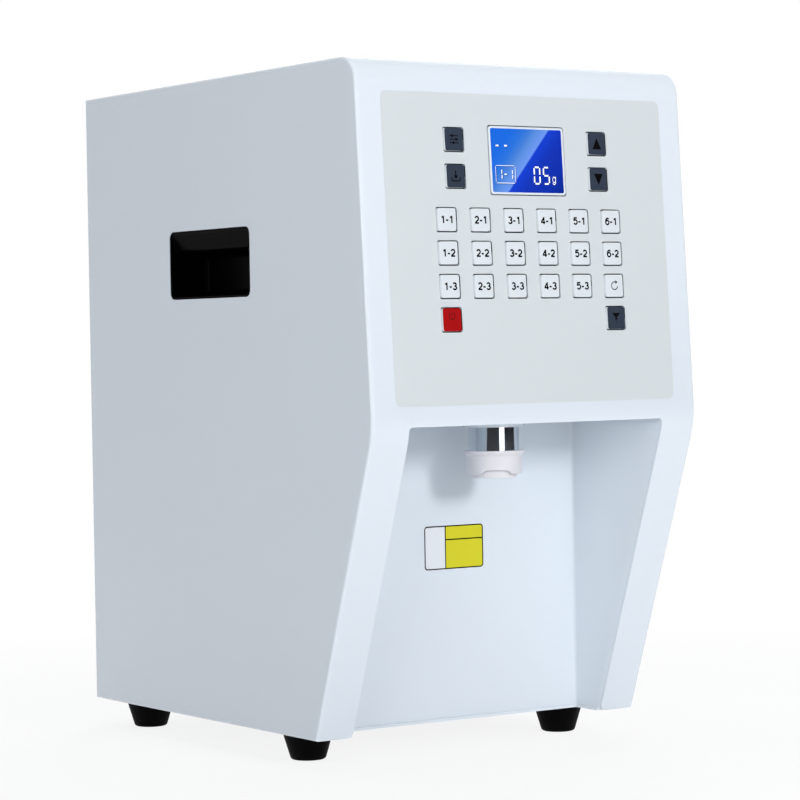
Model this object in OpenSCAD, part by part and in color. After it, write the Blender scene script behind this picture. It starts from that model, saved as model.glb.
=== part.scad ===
// Powder dosing dispenser: a counter-top cabinet of painted sheet with a keypad face, an open cup bay,
// and a hopper whose auger pushes powder forward to an outlet tube in the roof of the bay.
// The origin is on the floor under the middle of the cabinet. The front faces -Y and +Z is up.

/* [Cabinet] */
// Width across the two side panels
body_w = 260; // [250:1:300]
// Depth from the nose to the rear edges
body_d = 372; // [366:1:420]
// Height from the lower edge of the side panels to the top
body_h = 436; // [430:1:480]
// Thickness of the painted sheet
sheet_t = 2; // [1.5:0.1:2.5]
// Radius of the rounded nose under the keypad face
nose_r = 60; // [50:1:65]
// Height of the nose's centre above the lower edge of the side panels
nose_h = 209.7; // [206:0.1:214]
// Angle by which the keypad face leans back
face_lean = 3.6; // [2:0.1:5]
// Angle by which the face under the nose slopes back
under_lean = 19.9; // [15:0.1:22]
// Radius of the rolled top front edge
top_r = 18; // [12:1:20]
// Flat length of the fascia behind the rolled top edge
top_lap = 10; // [6:1:14]
// Height of the rubber feet
foot_h = 19; // [12:1:30]
// Diameter of a foot at the floor
foot_d = 23; // [18:1:26]
// Diameter of a foot under the base plate
foot_top_d = 34.5; // [24:0.5:36]
// Distance of the feet from the sides
foot_side = 26; // [20:1:34]
// Distance of the front feet behind the nose
foot_front = 123; // [118:1:140]
// Distance of the rear feet from the rear edges
foot_rear = 35; // [20:1:60]
// Distance of the rear panel inside the rear edges
rear_inset = 3.5; // [3.5:0.1:8]
// Width of the side panels' folded rear flanges
fold_w = 16; // [12:1:20]
// Number of screws along each side of the rear panel
rear_screws = 4; // [2:1:6]
// Diameter of a panel screw's shank
screw_d = 4; // [3:0.5:5]
// Diameter of a panel screw's head
screw_head_d = 7.5; // [6:0.5:9]
// Height of a panel screw's head
screw_head_h = 2; // [1:0.1:2.4]

/* [Handles] */
// Length of a handle recess
handle_w = 107; // [80:1:120]
// Height of a handle recess
handle_h = 46.8; // [35:0.1:55]
// Corner radius of a handle recess
handle_r = 5; // [2:0.5:8]
// Depth of a handle cup from the outer face of its panel
handle_deep = 30; // [22:1:34]
// Wall of a handle cup
handle_t = 2; // [1.5:0.1:3]
// Width of the rim that holds a handle cup behind its panel
handle_rim = 5; // [3:0.5:8]
// How far a handle cup's upper wall slopes down to its floor
handle_slope = 10.5; // [4:0.5:16]
// Place of the handles' centre along the cabinet, to the rear of its middle
handle_y = 11.3; // [0:0.1:30]
// Height of the handles' centre above the lower edge of the side panels
handle_z = 311.3; // [300:0.1:330]

/* [Cup bay] */
// Clear width of the bay
bay_w = 204; // [180:1:206]
// Depth of the bay from the nose to its back wall
bay_deep = 99.3; // [92:0.1:106]
// Height of the bay above the lower edge of the side panels
bay_h = 202.5; // [196:0.5:206]
// Radius of the bay's upright rear corners
bay_r = 2; // [2:0.5:30]
// Radius of the upper corners of the bay's mouth
mouth_r = 2.5; // [1:0.5:6]
// Radius of the lower inner corners of the two front flanges
flange_r = 4.5; // [2:0.5:8]
// Thickness of the bay liner
liner_t = 1.5; // [1:0.1:2]
// How far the base plate's edge shows inside the bay
base_lip = 1; // [0.5:0.1:3]

/* [Outlet] */
// Distance from the nose back to the outlet's axis
outlet_back = 51.5; // [48:0.5:56]
// Outside diameter of the outlet tube
tube_d = 33.4; // [28:0.1:34]
// Wall of the outlet tube
tube_wall = 1.5; // [1:0.1:2]
// Outside diameter of the collar on the bay's roof around the tube
collar_d = 41.4; // [38:0.2:46]
// Height of that collar below the roof
collar_h = 3.2; // [2:0.1:5]
// Length of tube that shows between the bay's roof and the nozzle
tube_show = 18.8; // [12:0.1:30]
// Height of the nozzle
nozzle_h = 18; // [16:0.5:24]
// Wall of the nozzle's sleeve
nozzle_wall = 1.7; // [1.5:0.1:3]
// How far the nozzle's upper rim stands out from its sleeve
nozzle_rim = 1.6; // [0.8:0.1:2.5]
// Height of the nozzle's upper rim
nozzle_rim_h = 1.6; // [1:0.1:3]
// Length of tube held in the nozzle
nozzle_hold = 10; // [7:0.5:12]
// Height of the nozzle's tip below its sleeve
nozzle_tip_h = 2.6; // [1.5:0.1:4]
// Outside diameter of the nozzle's tip
nozzle_tip_d = 29.5; // [26:0.5:30]
// Rise of the arched notches in the sleeve's lower edge
notch_rise = 3.5; // [2:0.1:5]
// Width of an arched notch at the sleeve's lower edge
notch_w = 24; // [16:1:28]

/* [Keypad] */
// Distance of the control overlay from the cabinet's sides
overlay_side = 18; // [10:0.5:24]
// Distance of the overlay above the lower end of the flat face
overlay_low = 2; // [1:0.5:6]
// Distance of the overlay below the upper end of the flat face
overlay_high = 4.8; // [2:0.1:8]
// Thickness of the overlay
overlay_t = 0.2; // [0.2:0.05:0.3]
// Corner radius of the overlay
overlay_r = 4.5; // [2:0.5:10]
// Width and height of a key cap
key_w = 14.6; // [13:0.1:16.5]
// Corner radius of a key cap
key_r = 1.5; // [0.5:0.1:3]
// How far a key cap stands out from the face
key_out = 2.2; // [1:0.1:3]
// Distance between key columns
key_pitch_x = 26.44; // [24:0.01:28]
// Distance between key rows
key_pitch_y = 21.25; // [20.5:0.05:23]
// Distance of the lowest key row below the upper end of the flat face
key_low = 149.7; // [144:0.05:154]
// Distance of the keys beside the display from the middle
side_key_x = 57.5; // [54:0.5:66]
// Height of the display's centre above the lowest key row
display_rise = 102.6; // [98:0.1:106]
// Distance between the two rows of keys beside the display
side_key_pitch = 23.5; // [21:0.1:26]
// How far the middle of the keys beside the display stands above its centre
side_key_rise = 0.7; // [0:0.1:3]
// Width of the display's rim
display_w = 60; // [50:0.5:64]
// Height of the display's rim
display_h = 44; // [38:0.5:48]
// Width of the display's rim band at its sides and ends
display_band = 1.5; // [1:0.1:3]
// How far the display's rim stands out from the face
display_out = 0.8; // [0.4:0.1:2]
// Travel of a key
key_travel = 0.8; // [0.4:0.1:1.5]
// Clearance around a key cap
key_gap = 0.8; // [0.15:0.05:0.9]
// Clearance around the display's rim
display_gap = 0.5; // [0.2:0.05:0.8]
// Clearance between a key's flange and the sheet in front of it
key_seat = 0.3; // [0.2:0.05:0.5]
// Thickness of a key's flange
key_flange_t = 1.2; // [0.8:0.1:2]
// How far a key's flange stands out from its cap
key_lip = 1.5; // [1:0.1:2]
// Length of a key's stem
key_stem = 2; // [1:0.1:4]
// Diameter of a key's stem
key_stem_d = 5; // [3:0.5:6]
// Width of a tact switch
tact_w = 6; // [4:0.5:8]
// Height of a tact switch with its plunger
tact_h = 3.5; // [2:0.1:5]
// Thickness of the control board
board_t = 1.6; // [1:0.1:2.4]
// Margin of the control board around the key flanges
board_margin = 12; // [10:0.5:14]
// Diameter of the studs that carry the control board
stud_d = 6; // [5:0.5:7]

/* [Hopper] */
// Wall of the hopper
hopper_wall = 2.5; // [2:0.1:4]
// Height of the hopper's upright walls' lower edge above the auger's axis
hopper_shoulder = 84; // [76:1:92]
// Width of the rim around the hopper's mouth
hopper_rim = 3; // [2:0.5:5]
// Thickness of that rim
hopper_rim_t = 3; // [2:0.5:5]
// Distance of the hopper's rim below the top panel
hopper_drop = 9; // [8:0.5:14]
// Distance between the hopper and a handle cup
hopper_clear = 3; // [2:0.5:6]
// Thickness of the brackets on the deck
bracket_t = 3; // [2:0.1:4]
// Half width of a hopper bracket
bracket_x = 35; // [30:1:45]
// Distance of a hopper bracket from the hopper's end
bracket_in = 14; // [10:1:30]

/* [Feed] */
// Outside diameter of the auger's flight
auger_d = 37; // [32:0.5:38]
// Distance from turn to turn of the flight
auger_pitch = 40; // [30:1:60]
// Thickness of the flight along the axis
flight_t = 4; // [3:0.5:6]
// Diameter of the auger's core
core_d = 16; // [15:0.5:18]
// Clearance around the flight
auger_gap = 1; // [0.6:0.1:2]
// Wall of the auger barrel
barrel_wall = 2.5; // [2:0.1:3.5]
// Thickness of the barrel's end wall
barrel_end_t = 4; // [3:0.5:6]
// Length of barrel in front of the outlet tube
barrel_nose = 6; // [5:0.5:8]
// Length of barrel between the outlet tube and the rear flange
barrel_tail = 1; // [0.5:0.5:4]
// Thickness of the barrel's rear flange
barrel_flange_t = 4; // [3:0.5:6]
// How far that flange stands out from the barrel
barrel_lip = 4; // [3:0.5:6]
// Clearance between the barrel's flange and the deck
barrel_rise = 1; // [0.5:0.1:4]
// Diameter of the auger's drive shaft
shaft_d = 10; // [8:0.5:11]
// Diameter of the auger's front journal
journal_d = 8; // [6:0.5:10]
// Length of drive shaft held in the auger's core
shaft_grip = 18; // [12:1:30]
// Diameter of the agitator's shaft
agit_d = 8; // [6:0.5:10]
// Diameter of the agitator's arms and bars
agit_rod_d = 5; // [4:0.5:6]
// Number of arms along the agitator
agit_arms = 4; // [2:1:6]
// Clearance between the agitator's sweep and the auger
agit_gap = 3; // [2:0.5:5]
// Wall of a shaft bush
bush_wall = 3; // [2:0.5:4]
// Thickness of a bush's lip
bush_lip = 2; // [1:0.5:3]
// How far a bush's lip stands out from its body
bush_rim = 2; // [1:0.5:3]
// Radial running clearance of a shaft
run_gap = 0.05; // [0.02:0.01:0.1]
// End clearance of the turning pieces
end_gap = 0.6; // [0.3:0.1:1]
// Module of the gear pair
gear_m = 2; // [1.9:0.05:2.1]
// Teeth of the auger's gear
auger_teeth = 20; // [18:2:20]
// Teeth of the agitator's gear
agit_teeth = 40; // [38:2:42]
// Face width of the gears
gear_w = 8; // [6:0.5:10]
// Thinning of each tooth flank for backlash
gear_slack = 0.15; // [0.1:0.01:0.25]
// Diameter of the motor's gearbox
gearbox_d = 50; // [42:1:52]
// Length of the motor's gearbox
gearbox_l = 25; // [20:1:32]
// Diameter of the motor's can
motor_d = 42; // [36:1:48]
// Length of the motor's can
motor_l = 30; // [25:1:40]
// Distance between the motor and the rear panel
motor_clear = 4; // [3:0.5:10]

/* [Lid] */
// Margin of the lid around the hopper's rim
lid_margin = 4; // [3:0.5:6]
// Gap between the lid and the top panel
lid_gap = 1; // [0.6:0.1:2]
// Depth of the lid's folded edge
lid_fold = 6; // [3:0.5:7]
// Distance of the lid's folded edge from its outline
lid_fold_in = 3; // [2:0.5:6]
// Distance of a hinge from the middle
hinge_x = 70; // [40:1:80]
// Radius of the lid's hinge knuckles
knuckle_r = 3; // [2.6:0.1:3.4]
// Width of a hinge knuckle
knuckle_w = 20; // [12:1:30]
// Diameter of a hinge pin
hinge_pin_d = 3; // [2:0.1:3.4]
// Thickness of a hinge bracket's ears
ear_t = 3; // [2:0.5:5]
// Side clearance of a hinge knuckle
ear_gap = 0.4; // [0.3:0.1:0.8]
// Gap behind the hinge knuckles
hinge_gap = 1.6; // [1.2:0.1:3]
// Length of a hinge bracket's foot under the top panel
hinge_foot = 12; // [8:1:18]
// Radius of the finger dish in front of the lid
dish_r = 14; // [12:0.5:15]
// Depth of the finger dish
dish_deep = 12; // [9:0.5:16]

/* [Mains] */
// Place of the mains inlet across the rear panel
inlet_x = -70; // [-90:1:90]
// Height of the mains inlet above the base plate
inlet_z = 52; // [40:1:100]
// Width of the inlet's housing
inlet_w = 27; // [26:0.5:32]
// Height of the inlet's housing
inlet_h = 47; // [46:0.5:56]
// Depth of the inlet's housing behind the rear panel
inlet_deep = 28; // [24:1:34]
// Thickness of the inlet's flange
inlet_flange_t = 2; // [1:0.1:2.5]
// How far the inlet's flange stands out from its housing
inlet_lip = 2.5; // [1.5:0.5:5]
// Width of the socket recess
socket_w = 24; // [23:0.5:24.5]
// Height of the socket recess
socket_h = 16.5; // [16:0.5:17]
// Depth of the socket recess
socket_deep = 17; // [15:0.5:18]
// Distance of the socket's and the switch's centres from the inlet's centre
inlet_split = 11.5; // [11:0.1:12.5]
// Width of the rocker
rocker_w = 19.6; // [18:0.1:20.5]
// Height of the rocker
rocker_h = 13; // [11:0.1:14]
// Half of the rocker's swing
rocker_swing = 6; // [4:0.5:7]
// Clearance around the rocker
rocker_gap = 0.9; // [0.8:0.1:1.2]
// Diameter of the rocker's pivots
rocker_pin_d = 3; // [2:0.5:4]
// Length of a rocker's pivot
rocker_pin_l = 1.5; // [1:0.1:2]
// Width of the power supply
psu_w = 110; // [90:1:130]
// Depth of the power supply
psu_d = 70; // [60:1:90]
// Height of the power supply
psu_h = 38; // [30:1:50]
// Place of the power supply across the cabinet
psu_x = 45; // [20:1:50]
// Distance of the power supply from the rear panel
psu_rear = 40; // [20:1:60]
// Length of a vent slot
vent_w = 40; // [30:1:50]
// Width of a vent slot
vent_h = 3; // [2:0.5:3.5]
// Distance between vent slots
vent_pitch = 9; // [7:0.5:12]
// Number of vent slots in a column
vent_rows = 7; // [3:1:9]

/* [Hidden] */
$fn = 64;
// Clearance between fixed pieces that meet on a curve or in a cut
fit_gap = 0.2;
// How far a cutting shape runs past what it cuts
over = 1;
run_on = 40;

half_w = body_w / 2;
in_w = half_w - sheet_t;
y_front = -body_d / 2;
y_back = body_d / 2;
z_base = foot_h;
z_top = z_base + body_h;
base_top = z_base + sheet_t;
roof_z = z_top - sheet_t;
deck_z = z_base + bay_h;
deck_top = deck_z + sheet_t;
rear_y = y_back - rear_inset - sheet_t;

// Outline points of the cabinet in Y, Z: each face is tangent to the rounds beside it
nose_c = [y_front + nose_r, z_base + nose_h];
face_n = [-cos(face_lean), sin(face_lean)];
under_n = [-cos(under_lean), -sin(under_lean)];
face_0 = nose_c + nose_r * face_n;
top_z = z_top - top_r;
top_y = face_0[0] - top_r * face_n[0] + (top_z - face_0[1] + top_r * face_n[1]) * tan(face_lean);
top_c = [top_y, top_z];
face_len = norm(top_c + top_r * face_n - face_0);
seam_y = top_y + top_lap;

// Handles
handle_c = [handle_y, z_base + handle_z];

// Outlet and feed, along Y
outlet_y = y_front + outlet_back;
tube_r = tube_d / 2;
nozzle_top = deck_z - tube_show;
sleeve_r = tube_r + run_gap + nozzle_wall;
sleeve_h = nozzle_h - nozzle_tip_h;
trough_r = auger_d / 2 + auger_gap;
barrel_r = trough_r + barrel_wall;
auger_z = deck_top + barrel_rise + barrel_r + barrel_lip;
barrel_y = outlet_y - tube_r - barrel_nose;
hopper_y0 = outlet_y + tube_r + barrel_tail + barrel_flange_t;
gearbox_y = rear_y - motor_clear - motor_l - gearbox_l;
plate_y = gearbox_y - bracket_t;
gear_y = plate_y - end_gap - gear_w;
hopper_y1 = gear_y - end_gap - bush_lip;
auger_y0 = barrel_y + barrel_end_t + bush_lip + end_gap;
auger_y1 = hopper_y1 - hopper_wall - end_gap;
gear_span = gear_m * (auger_teeth + agit_teeth) / 2;
agit_z = auger_z + gear_span;
agit_r = gear_span - auger_d / 2 - agit_gap;
hopper_x = half_w - handle_deep - hopper_clear;
hopper_top = roof_z - hopper_drop;

// Lid and hinges
lid_x = hopper_x + hopper_rim + lid_margin;
lid_y = hopper_y0 - hopper_rim - lid_margin;
hinge_y = hopper_y1 + hopper_rim + lid_margin;
hinge_z = z_top - knuckle_r;
mouth_y = lid_y - lid_gap;
mouth_back = hinge_y + knuckle_r + hinge_gap;
ear_r = knuckle_r - fit_gap;
hinge_w = knuckle_w + 2 * (ear_gap + ear_t);

// Keypad stack, as depths behind the face
flange_z = sheet_t + key_seat + key_flange_t;
tact_z = flange_z + key_stem + key_travel + run_gap;
board_z = tact_z + tact_h;
side_x = 2.5 * key_pitch_x;
low_s = face_len - key_low;
display_s = low_s + display_rise;
side_key_s = display_s + side_key_rise;
grid_s = low_s + 3 * key_pitch_y;
board_edge = key_w / 2 + key_lip + board_margin;
board_x = side_x + board_edge;
board_s0 = low_s - board_edge;
board_s1 = side_key_s + side_key_pitch / 2 + board_edge;
overlay_w = body_w - 2 * overlay_side;
overlay_h = face_len - overlay_low - overlay_high;

// Mains
inlet_c = [inlet_x, base_top + inlet_z];
rear_face = rear_y + sheet_t;
rocker_back = 5;
rocker_front = 2.2;
rocker_dip = 0.8;
rocker_pivot = 2;

white_paint = "#dfe5ea";
black_plastic = "#17181a";
steel = "#b9bec4";
natural_plastic = "#e8e6e0";
slate = "#40464f";
signal_red = "#c4201e";

// Each key has a node name, a place across and up the face, and a colour
KEYS = concat(
    [for (r = [1:3], c = [1:6])
        [r == 3 && c == 6 ? "key_clear" : str("key_", c, "_", r),
         (c - 3.5) * key_pitch_x, grid_s - (r - 1) * key_pitch_y, natural_plastic]],
    [
        ["key_power", -side_x, low_s, signal_red],
        ["key_feed", side_x, low_s, slate],
        ["key_set", -side_key_x, side_key_s + side_key_pitch / 2, slate],
        ["key_save", -side_key_x, side_key_s - side_key_pitch / 2, slate],
        ["key_up", side_key_x, side_key_s + side_key_pitch / 2, slate],
        ["key_down", side_key_x, side_key_s - side_key_pitch / 2, slate]
    ]
);

// A flat shape drawn in Y, Z and given thickness t along X from x
module across(x, t) {
    translate([x, 0, 0]) rotate([90, 0, 90]) linear_extrude(t) children();
}

// A flat shape drawn in X, Z and given thickness t along Y from y
module upright(y, t) {
    translate([0, y + t, 0]) rotate([90, 0, 0]) linear_extrude(t) children();
}

// A round bar along Y from y, of length l, at height z
module bar_y(y, z, d, l) {
    translate([0, y, z]) rotate([-90, 0, 0]) cylinder(d = d, h = l);
}

// The keypad face: X across, Y up the face from the nose, Z out of it
module on_face() {
    translate([0, face_0[0], face_0[1]]) rotate([90 - face_lean, 0, 0]) children();
}

module rounded(w, h, r) {
    square([w - 2 * r, h], center = true);
    square([w, h - 2 * r], center = true);
    for (x = [-1, 1], y = [-1, 1])
        translate([x * (w / 2 - r), y * (h / 2 - r)]) circle(r);
}

// The cabinet's outline in Y, Z, set in by d at the front and top, and run on past the bottom and back
module outline(d = 0, past = 0) {
    under_0 = nose_c + (nose_r - d) * under_n;
    drop = under_0[1] - z_base + past;
    translate(nose_c) circle(nose_r - d);
    translate(top_c) circle(top_r - d);
    polygon([
        [under_0[0] + drop * tan(under_lean), z_base - past],
        under_0,
        nose_c + (nose_r - d) * face_n,
        top_c + (top_r - d) * face_n,
        [top_c[0], z_top - d],
        [y_back + past, z_top - d],
        [y_back + past, z_base - past]
    ]);
}

// The space behind the front sheet
module behind_front() {
    across(-half_w, body_w) outline(sheet_t + fit_gap, run_on);
}

// The bay's plan in X, Y, grown by g
module bay_plan(g) {
    w = bay_w / 2 + g;
    r = max(bay_r + g, over);
    y = y_front + bay_deep + g;
    translate([-w, y_front]) square([2 * w, y - r - y_front]);
    translate([r - w, y_front]) square([2 * (w - r), y - y_front]);
    for (s = [-1, 1]) translate([s * (w - r), y - r]) circle(r);
}

module base_plate() color(white_paint) intersection() {
    translate([0, 0, z_base]) linear_extrude(sheet_t) difference() {
        translate([-in_w, y_front]) square([2 * in_w, body_d]);
        bay_plan(-base_lip);
    }
    behind_front();
}

module handle_shape(grow) {
    translate(handle_c) rounded(handle_w + 2 * grow, handle_h + 2 * grow, handle_r + grow);
}

function rear_screw_z(i) =
    base_top + (roof_z - base_top) * (i + 0.5) / rear_screws;

module at_rear_screws(side) {
    for (i = [0:rear_screws - 1])
        translate([side * (in_w - fold_w / 2), rear_y, rear_screw_z(i)]) rotate([-90, 0, 0]) children();
}

// Side panel with its handle cut-out and the fold that the rear panel is screwed to
module side_panel(side) color(white_paint) {
    across(side > 0 ? in_w : -half_w, sheet_t) difference() {
        outline();
        handle_shape(0);
    }
    difference() {
        translate([side > 0 ? in_w - fold_w : -in_w, rear_y - sheet_t, base_top])
            cube([fold_w, sheet_t, roof_z - base_top]);
        at_rear_screws(side)
            translate([0, 0, -sheet_t - over]) cylinder(d = screw_d + 2 * run_gap, h = sheet_t + 2 * over);
    }
}

module left_side_panel() side_panel(-1);

module right_side_panel() side_panel(1);

// Mouth of the bay in X, Z
module bay_mouth() {
    w = bay_w / 2;
    translate([-w, z_base - over]) square([bay_w, bay_h + over - mouth_r]);
    translate([mouth_r - w, z_base - over]) square([bay_w - 2 * mouth_r, bay_h + over]);
    for (s = [-1, 1]) translate([s * (w - mouth_r), deck_z - mouth_r]) circle(mouth_r);
    difference() {
        translate([-w - flange_r, z_base - over]) square([bay_w + 2 * flange_r, flange_r + over]);
        for (s = [-1, 1]) translate([s * (w + flange_r), z_base + flange_r]) circle(flange_r);
    }
}

module at_keys() {
    for (k = KEYS) translate([k[1], k[2]]) children();
}

// Key and display openings in the face, drawn on it
module face_holes() {
    at_keys() square(key_w + 2 * key_gap, center = true);
    translate([0, display_s])
        square([display_w + 2 * display_gap, display_h + 2 * display_gap], center = true);
}

module at_studs() {
    for (x = [-1, 1], s = [board_s0 + stud_d, board_s1 - stud_d])
        translate([x * (board_x - stud_d), s]) children();
}

module front_fascia() color(white_paint) {
    difference() {
        across(-in_w, 2 * in_w) difference() {
            outline();
            outline(sheet_t, run_on);
            translate([seam_y, top_z]) square([body_d, 2 * top_r]);
        }
        upright(y_front - over, bay_deep) bay_mouth();
        on_face() translate([0, 0, -sheet_t - over]) linear_extrude(sheet_t + 2 * over) face_holes();
    }
    on_face() at_studs() translate([0, 0, -board_z]) {
        cylinder(d = stud_d, h = board_z - sheet_t);
        translate([0, 0, -board_t - over]) cylinder(d = stud_d / 2, h = board_t + over);
    }
}

module bay_liner() color(white_paint) intersection() {
    translate([0, 0, base_top]) linear_extrude(deck_z - base_top) difference() {
        bay_plan(liner_t);
        bay_plan(0);
    }
    behind_front();
}

// Roof of the bay and floor of the hopper space, with a collar that the outlet tube comes down through
module deck_plate() color(white_paint) difference() {
    collar_z = deck_z - collar_h;
    union() {
        intersection() {
            translate([-in_w, y_front, deck_z])
                cube([2 * in_w, rear_y - sheet_t - fit_gap - y_front, sheet_t]);
            behind_front();
        }
        translate([0, outlet_y, collar_z]) cylinder(d = collar_d, h = collar_h + sheet_t / 2);
    }
    translate([0, outlet_y, collar_z - over])
        cylinder(d = tube_d + 2 * fit_gap, h = collar_h + sheet_t + 2 * over);
}

// Top panel with the lid's opening and a pressed finger dish in front of it
module top_panel() color(white_paint) {
    difference() {
        translate([-in_w, seam_y, roof_z]) cube([2 * in_w, y_back - seam_y, sheet_t]);
        translate([-lid_x - lid_gap, mouth_y, roof_z - over])
            cube([2 * (lid_x + lid_gap), mouth_back - mouth_y, sheet_t + 2 * over]);
        translate([0, mouth_y, roof_z - over]) cylinder(r = dish_r, h = sheet_t + 2 * over);
    }
    difference() {
        translate([0, mouth_y, z_top - dish_deep - sheet_t])
            cylinder(r = dish_r + sheet_t, h = dish_deep);
        translate([0, mouth_y, z_top - dish_deep]) cylinder(r = dish_r, h = dish_deep);
        translate([-body_w / 2, mouth_y, 0]) cube([body_w, body_d, z_top]);
    }
}

// The inlet's place on the rear panel, in X, Z
module at_inlet() {
    translate(inlet_c) children();
}

module vents() {
    for (x = [-1, 1], i = [0:vent_rows - 1])
        translate([x * vent_w, deck_top + vent_pitch * (i + 4)])
            square([vent_w, vent_h], center = true);
}

module rear_panel() color(white_paint) difference() {
    upright(rear_y, sheet_t) difference() {
        translate([-in_w, base_top]) square([2 * in_w, roof_z - base_top]);
        at_inlet() square([inlet_w + 2 * fit_gap, inlet_h + 2 * fit_gap], center = true);
        vents();
    }
    for (side = [-1, 1]) at_rear_screws(side)
        translate([0, 0, -over]) cylinder(d = screw_d + 2 * run_gap, h = sheet_t + 2 * over);
}

// Pan-head screws with a cross recess
module panel_screws() color(steel) for (side = [-1, 1]) at_rear_screws(side) {
    translate([0, 0, -sheet_t - over]) cylinder(d = screw_d, h = 2 * sheet_t + over);
    difference() {
        translate([0, 0, sheet_t]) cylinder(d = screw_head_d, h = screw_head_h);
        for (a = [0, 90]) rotate(a) translate([0, 0, sheet_t + screw_head_h])
            cube([screw_head_d / 2, screw_d / 4, screw_head_h], center = true);
    }
}

module feet() color(black_plastic) {
    hole_d = foot_d * 0.4;
    for (x = [-1, 1], y = [y_front + foot_front, y_back - foot_rear])
        translate([x * (half_w - foot_side), y, 0]) difference() {
            cylinder(d1 = foot_d, d2 = foot_top_d, h = foot_h);
            translate([0, 0, -over]) cylinder(d = hole_d, h = foot_h * 0.6 + over);
            translate([0, 0, -over]) cylinder(d = screw_d, h = foot_h + 2 * over);
        }
}

// Handle cup: a flanged tray with a sloping upper wall, seated behind the cut-out in its side panel
module handle(side) color(black_plastic) {
    cup_x = side > 0 ? half_w - handle_deep : -half_w;
    floor_x = side > 0 ? half_w - handle_deep : handle_deep - half_w - handle_t;
    rim_x = side > 0 ? in_w - handle_t : -in_w;
    slope_x = half_w - handle_deep + handle_t / 2;
    slope_z = handle_c[1] + handle_h / 2;
    across(cup_x, handle_deep) difference() {
        handle_shape(-fit_gap);
        handle_shape(-fit_gap - handle_t);
    }
    across(floor_x, handle_t) handle_shape(-fit_gap - handle_t / 2);
    across(rim_x, handle_t) difference() {
        handle_shape(handle_rim);
        handle_shape(-fit_gap - handle_t / 2);
    }
    intersection() {
        across(-half_w, body_w) handle_shape(-fit_gap - handle_t / 2);
        upright(handle_c[0] - handle_w / 2, handle_w) polygon([
            [side * in_w, slope_z], [side * slope_x, slope_z],
            [side * slope_x, slope_z - fit_gap - handle_t - handle_slope]
        ]);
    }
}

module left_handle() handle(-1);

module right_handle() handle(1);

// Flush lid: a folded sheet with two hinge knuckles at its rear edge
module lid() color(white_paint) difference() {
    fold_y = lid_y + lid_fold_in;
    fold_x = lid_x - lid_fold_in;
    fold_l = hinge_y - fold_y - 8 * knuckle_r;
    union() {
        difference() {
            translate([-lid_x, lid_y, roof_z]) cube([2 * lid_x, hinge_y - lid_y, sheet_t]);
            for (s = [-1, 1])
                translate([s * hinge_x - hinge_w / 2 - ear_gap, hinge_y - 2 * knuckle_r, roof_z - over])
                    cube([hinge_w + 2 * ear_gap, 3 * knuckle_r, sheet_t + 2 * over]);
        }
        for (s = [-1, 1]) translate([s * hinge_x - knuckle_w / 2, hinge_y, 0]) {
            translate([0, -2 * knuckle_r - over, roof_z])
                cube([knuckle_w, 2 * knuckle_r + over, sheet_t]);
            translate([0, 0, hinge_z]) rotate([0, 90, 0]) cylinder(r = knuckle_r, h = knuckle_w);
        }
        translate([-fold_x, fold_y, roof_z - lid_fold]) cube([2 * fold_x, sheet_t, lid_fold + over]);
        for (s = [-1, 1])
            translate([s * (fold_x - sheet_t / 2) - sheet_t / 2, fold_y, roof_z - lid_fold])
                cube([sheet_t, fold_l, lid_fold + over]);
    }
    hinge_bores(run_gap);
}

// Holes for the hinge pins, with radial clearance g
module hinge_bores(g) {
    for (s = [-1, 1])
        translate([s * hinge_x - hinge_w / 2 - over, hinge_y, hinge_z]) rotate([0, 90, 0])
            cylinder(d = hinge_pin_d + 2 * g, h = hinge_w + 2 * over);
}

module lid_hinge_brackets() color(steel) difference() {
    foot_y = mouth_back + over;
    for (s = [-1, 1]) {
        for (e = [-1, 1])
            translate([s * hinge_x + e * (hinge_w - ear_t) / 2 - ear_t / 2, hinge_y, hinge_z]) {
                rotate([0, 90, 0]) cylinder(r = ear_r, h = ear_t);
                translate([0, 0, -ear_r])
                    cube([ear_t, foot_y + hinge_foot - hinge_y, ear_r]);
            }
        translate([s * hinge_x - hinge_w / 2, foot_y, hinge_z - ear_r])
            cube([hinge_w, hinge_foot, roof_z - hinge_z + ear_r]);
    }
    hinge_bores(run_gap / 2);
}

module lid_hinge_pins() color(steel) {
    for (s = [-1, 1])
        translate([s * hinge_x - hinge_w / 2, hinge_y, hinge_z]) rotate([0, 90, 0])
            cylinder(d = hinge_pin_d, h = hinge_w);
}

module control_overlay() color("#d6dbe0") on_face() linear_extrude(overlay_t) difference() {
    translate([0, overlay_low + overlay_h / 2]) rounded(overlay_w, overlay_h, overlay_r);
    face_holes();
}

// Window opening of the display, drawn on its centre and set in by d
module display_open(d) {
    square([display_w - 2 * display_band - 2 * d, display_h - 2 * display_band - 2 * d], center = true);
}

// Display rim: a frame through the fascia with a flange behind it and a ledge for the window
module display_bezel() color(natural_plastic) on_face() translate([0, display_s, 0]) difference() {
    rim = key_lip + fit_gap;
    translate([0, 0, -flange_z]) {
        linear_extrude(flange_z + display_out) square([display_w, display_h], center = true);
        linear_extrude(flange_z - sheet_t - run_gap)
            square([display_w + 2 * rim, display_h + 2 * rim], center = true);
    }
    translate([0, 0, -sheet_t + key_seat]) linear_extrude(sheet_t + display_out) display_open(0);
    translate([0, 0, -flange_z - over]) linear_extrude(flange_z + over) display_open(display_band);
}

module display_window() color("#1d55d8") on_face() translate([0, display_s, key_seat - sheet_t])
    linear_extrude(sheet_t) display_open(fit_gap / 2);

// Display module between the bezel and the board, with its glass standing in a steel frame
module display_module() color(steel) on_face() translate([0, display_s, -board_z]) difference() {
    linear_extrude(board_z - flange_z)
        square([display_w + 2 * key_lip, display_h + 2 * key_lip], center = true);
    translate([0, 0, board_z - flange_z - display_out]) linear_extrude(sheet_t) display_open(display_band);
}

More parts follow.
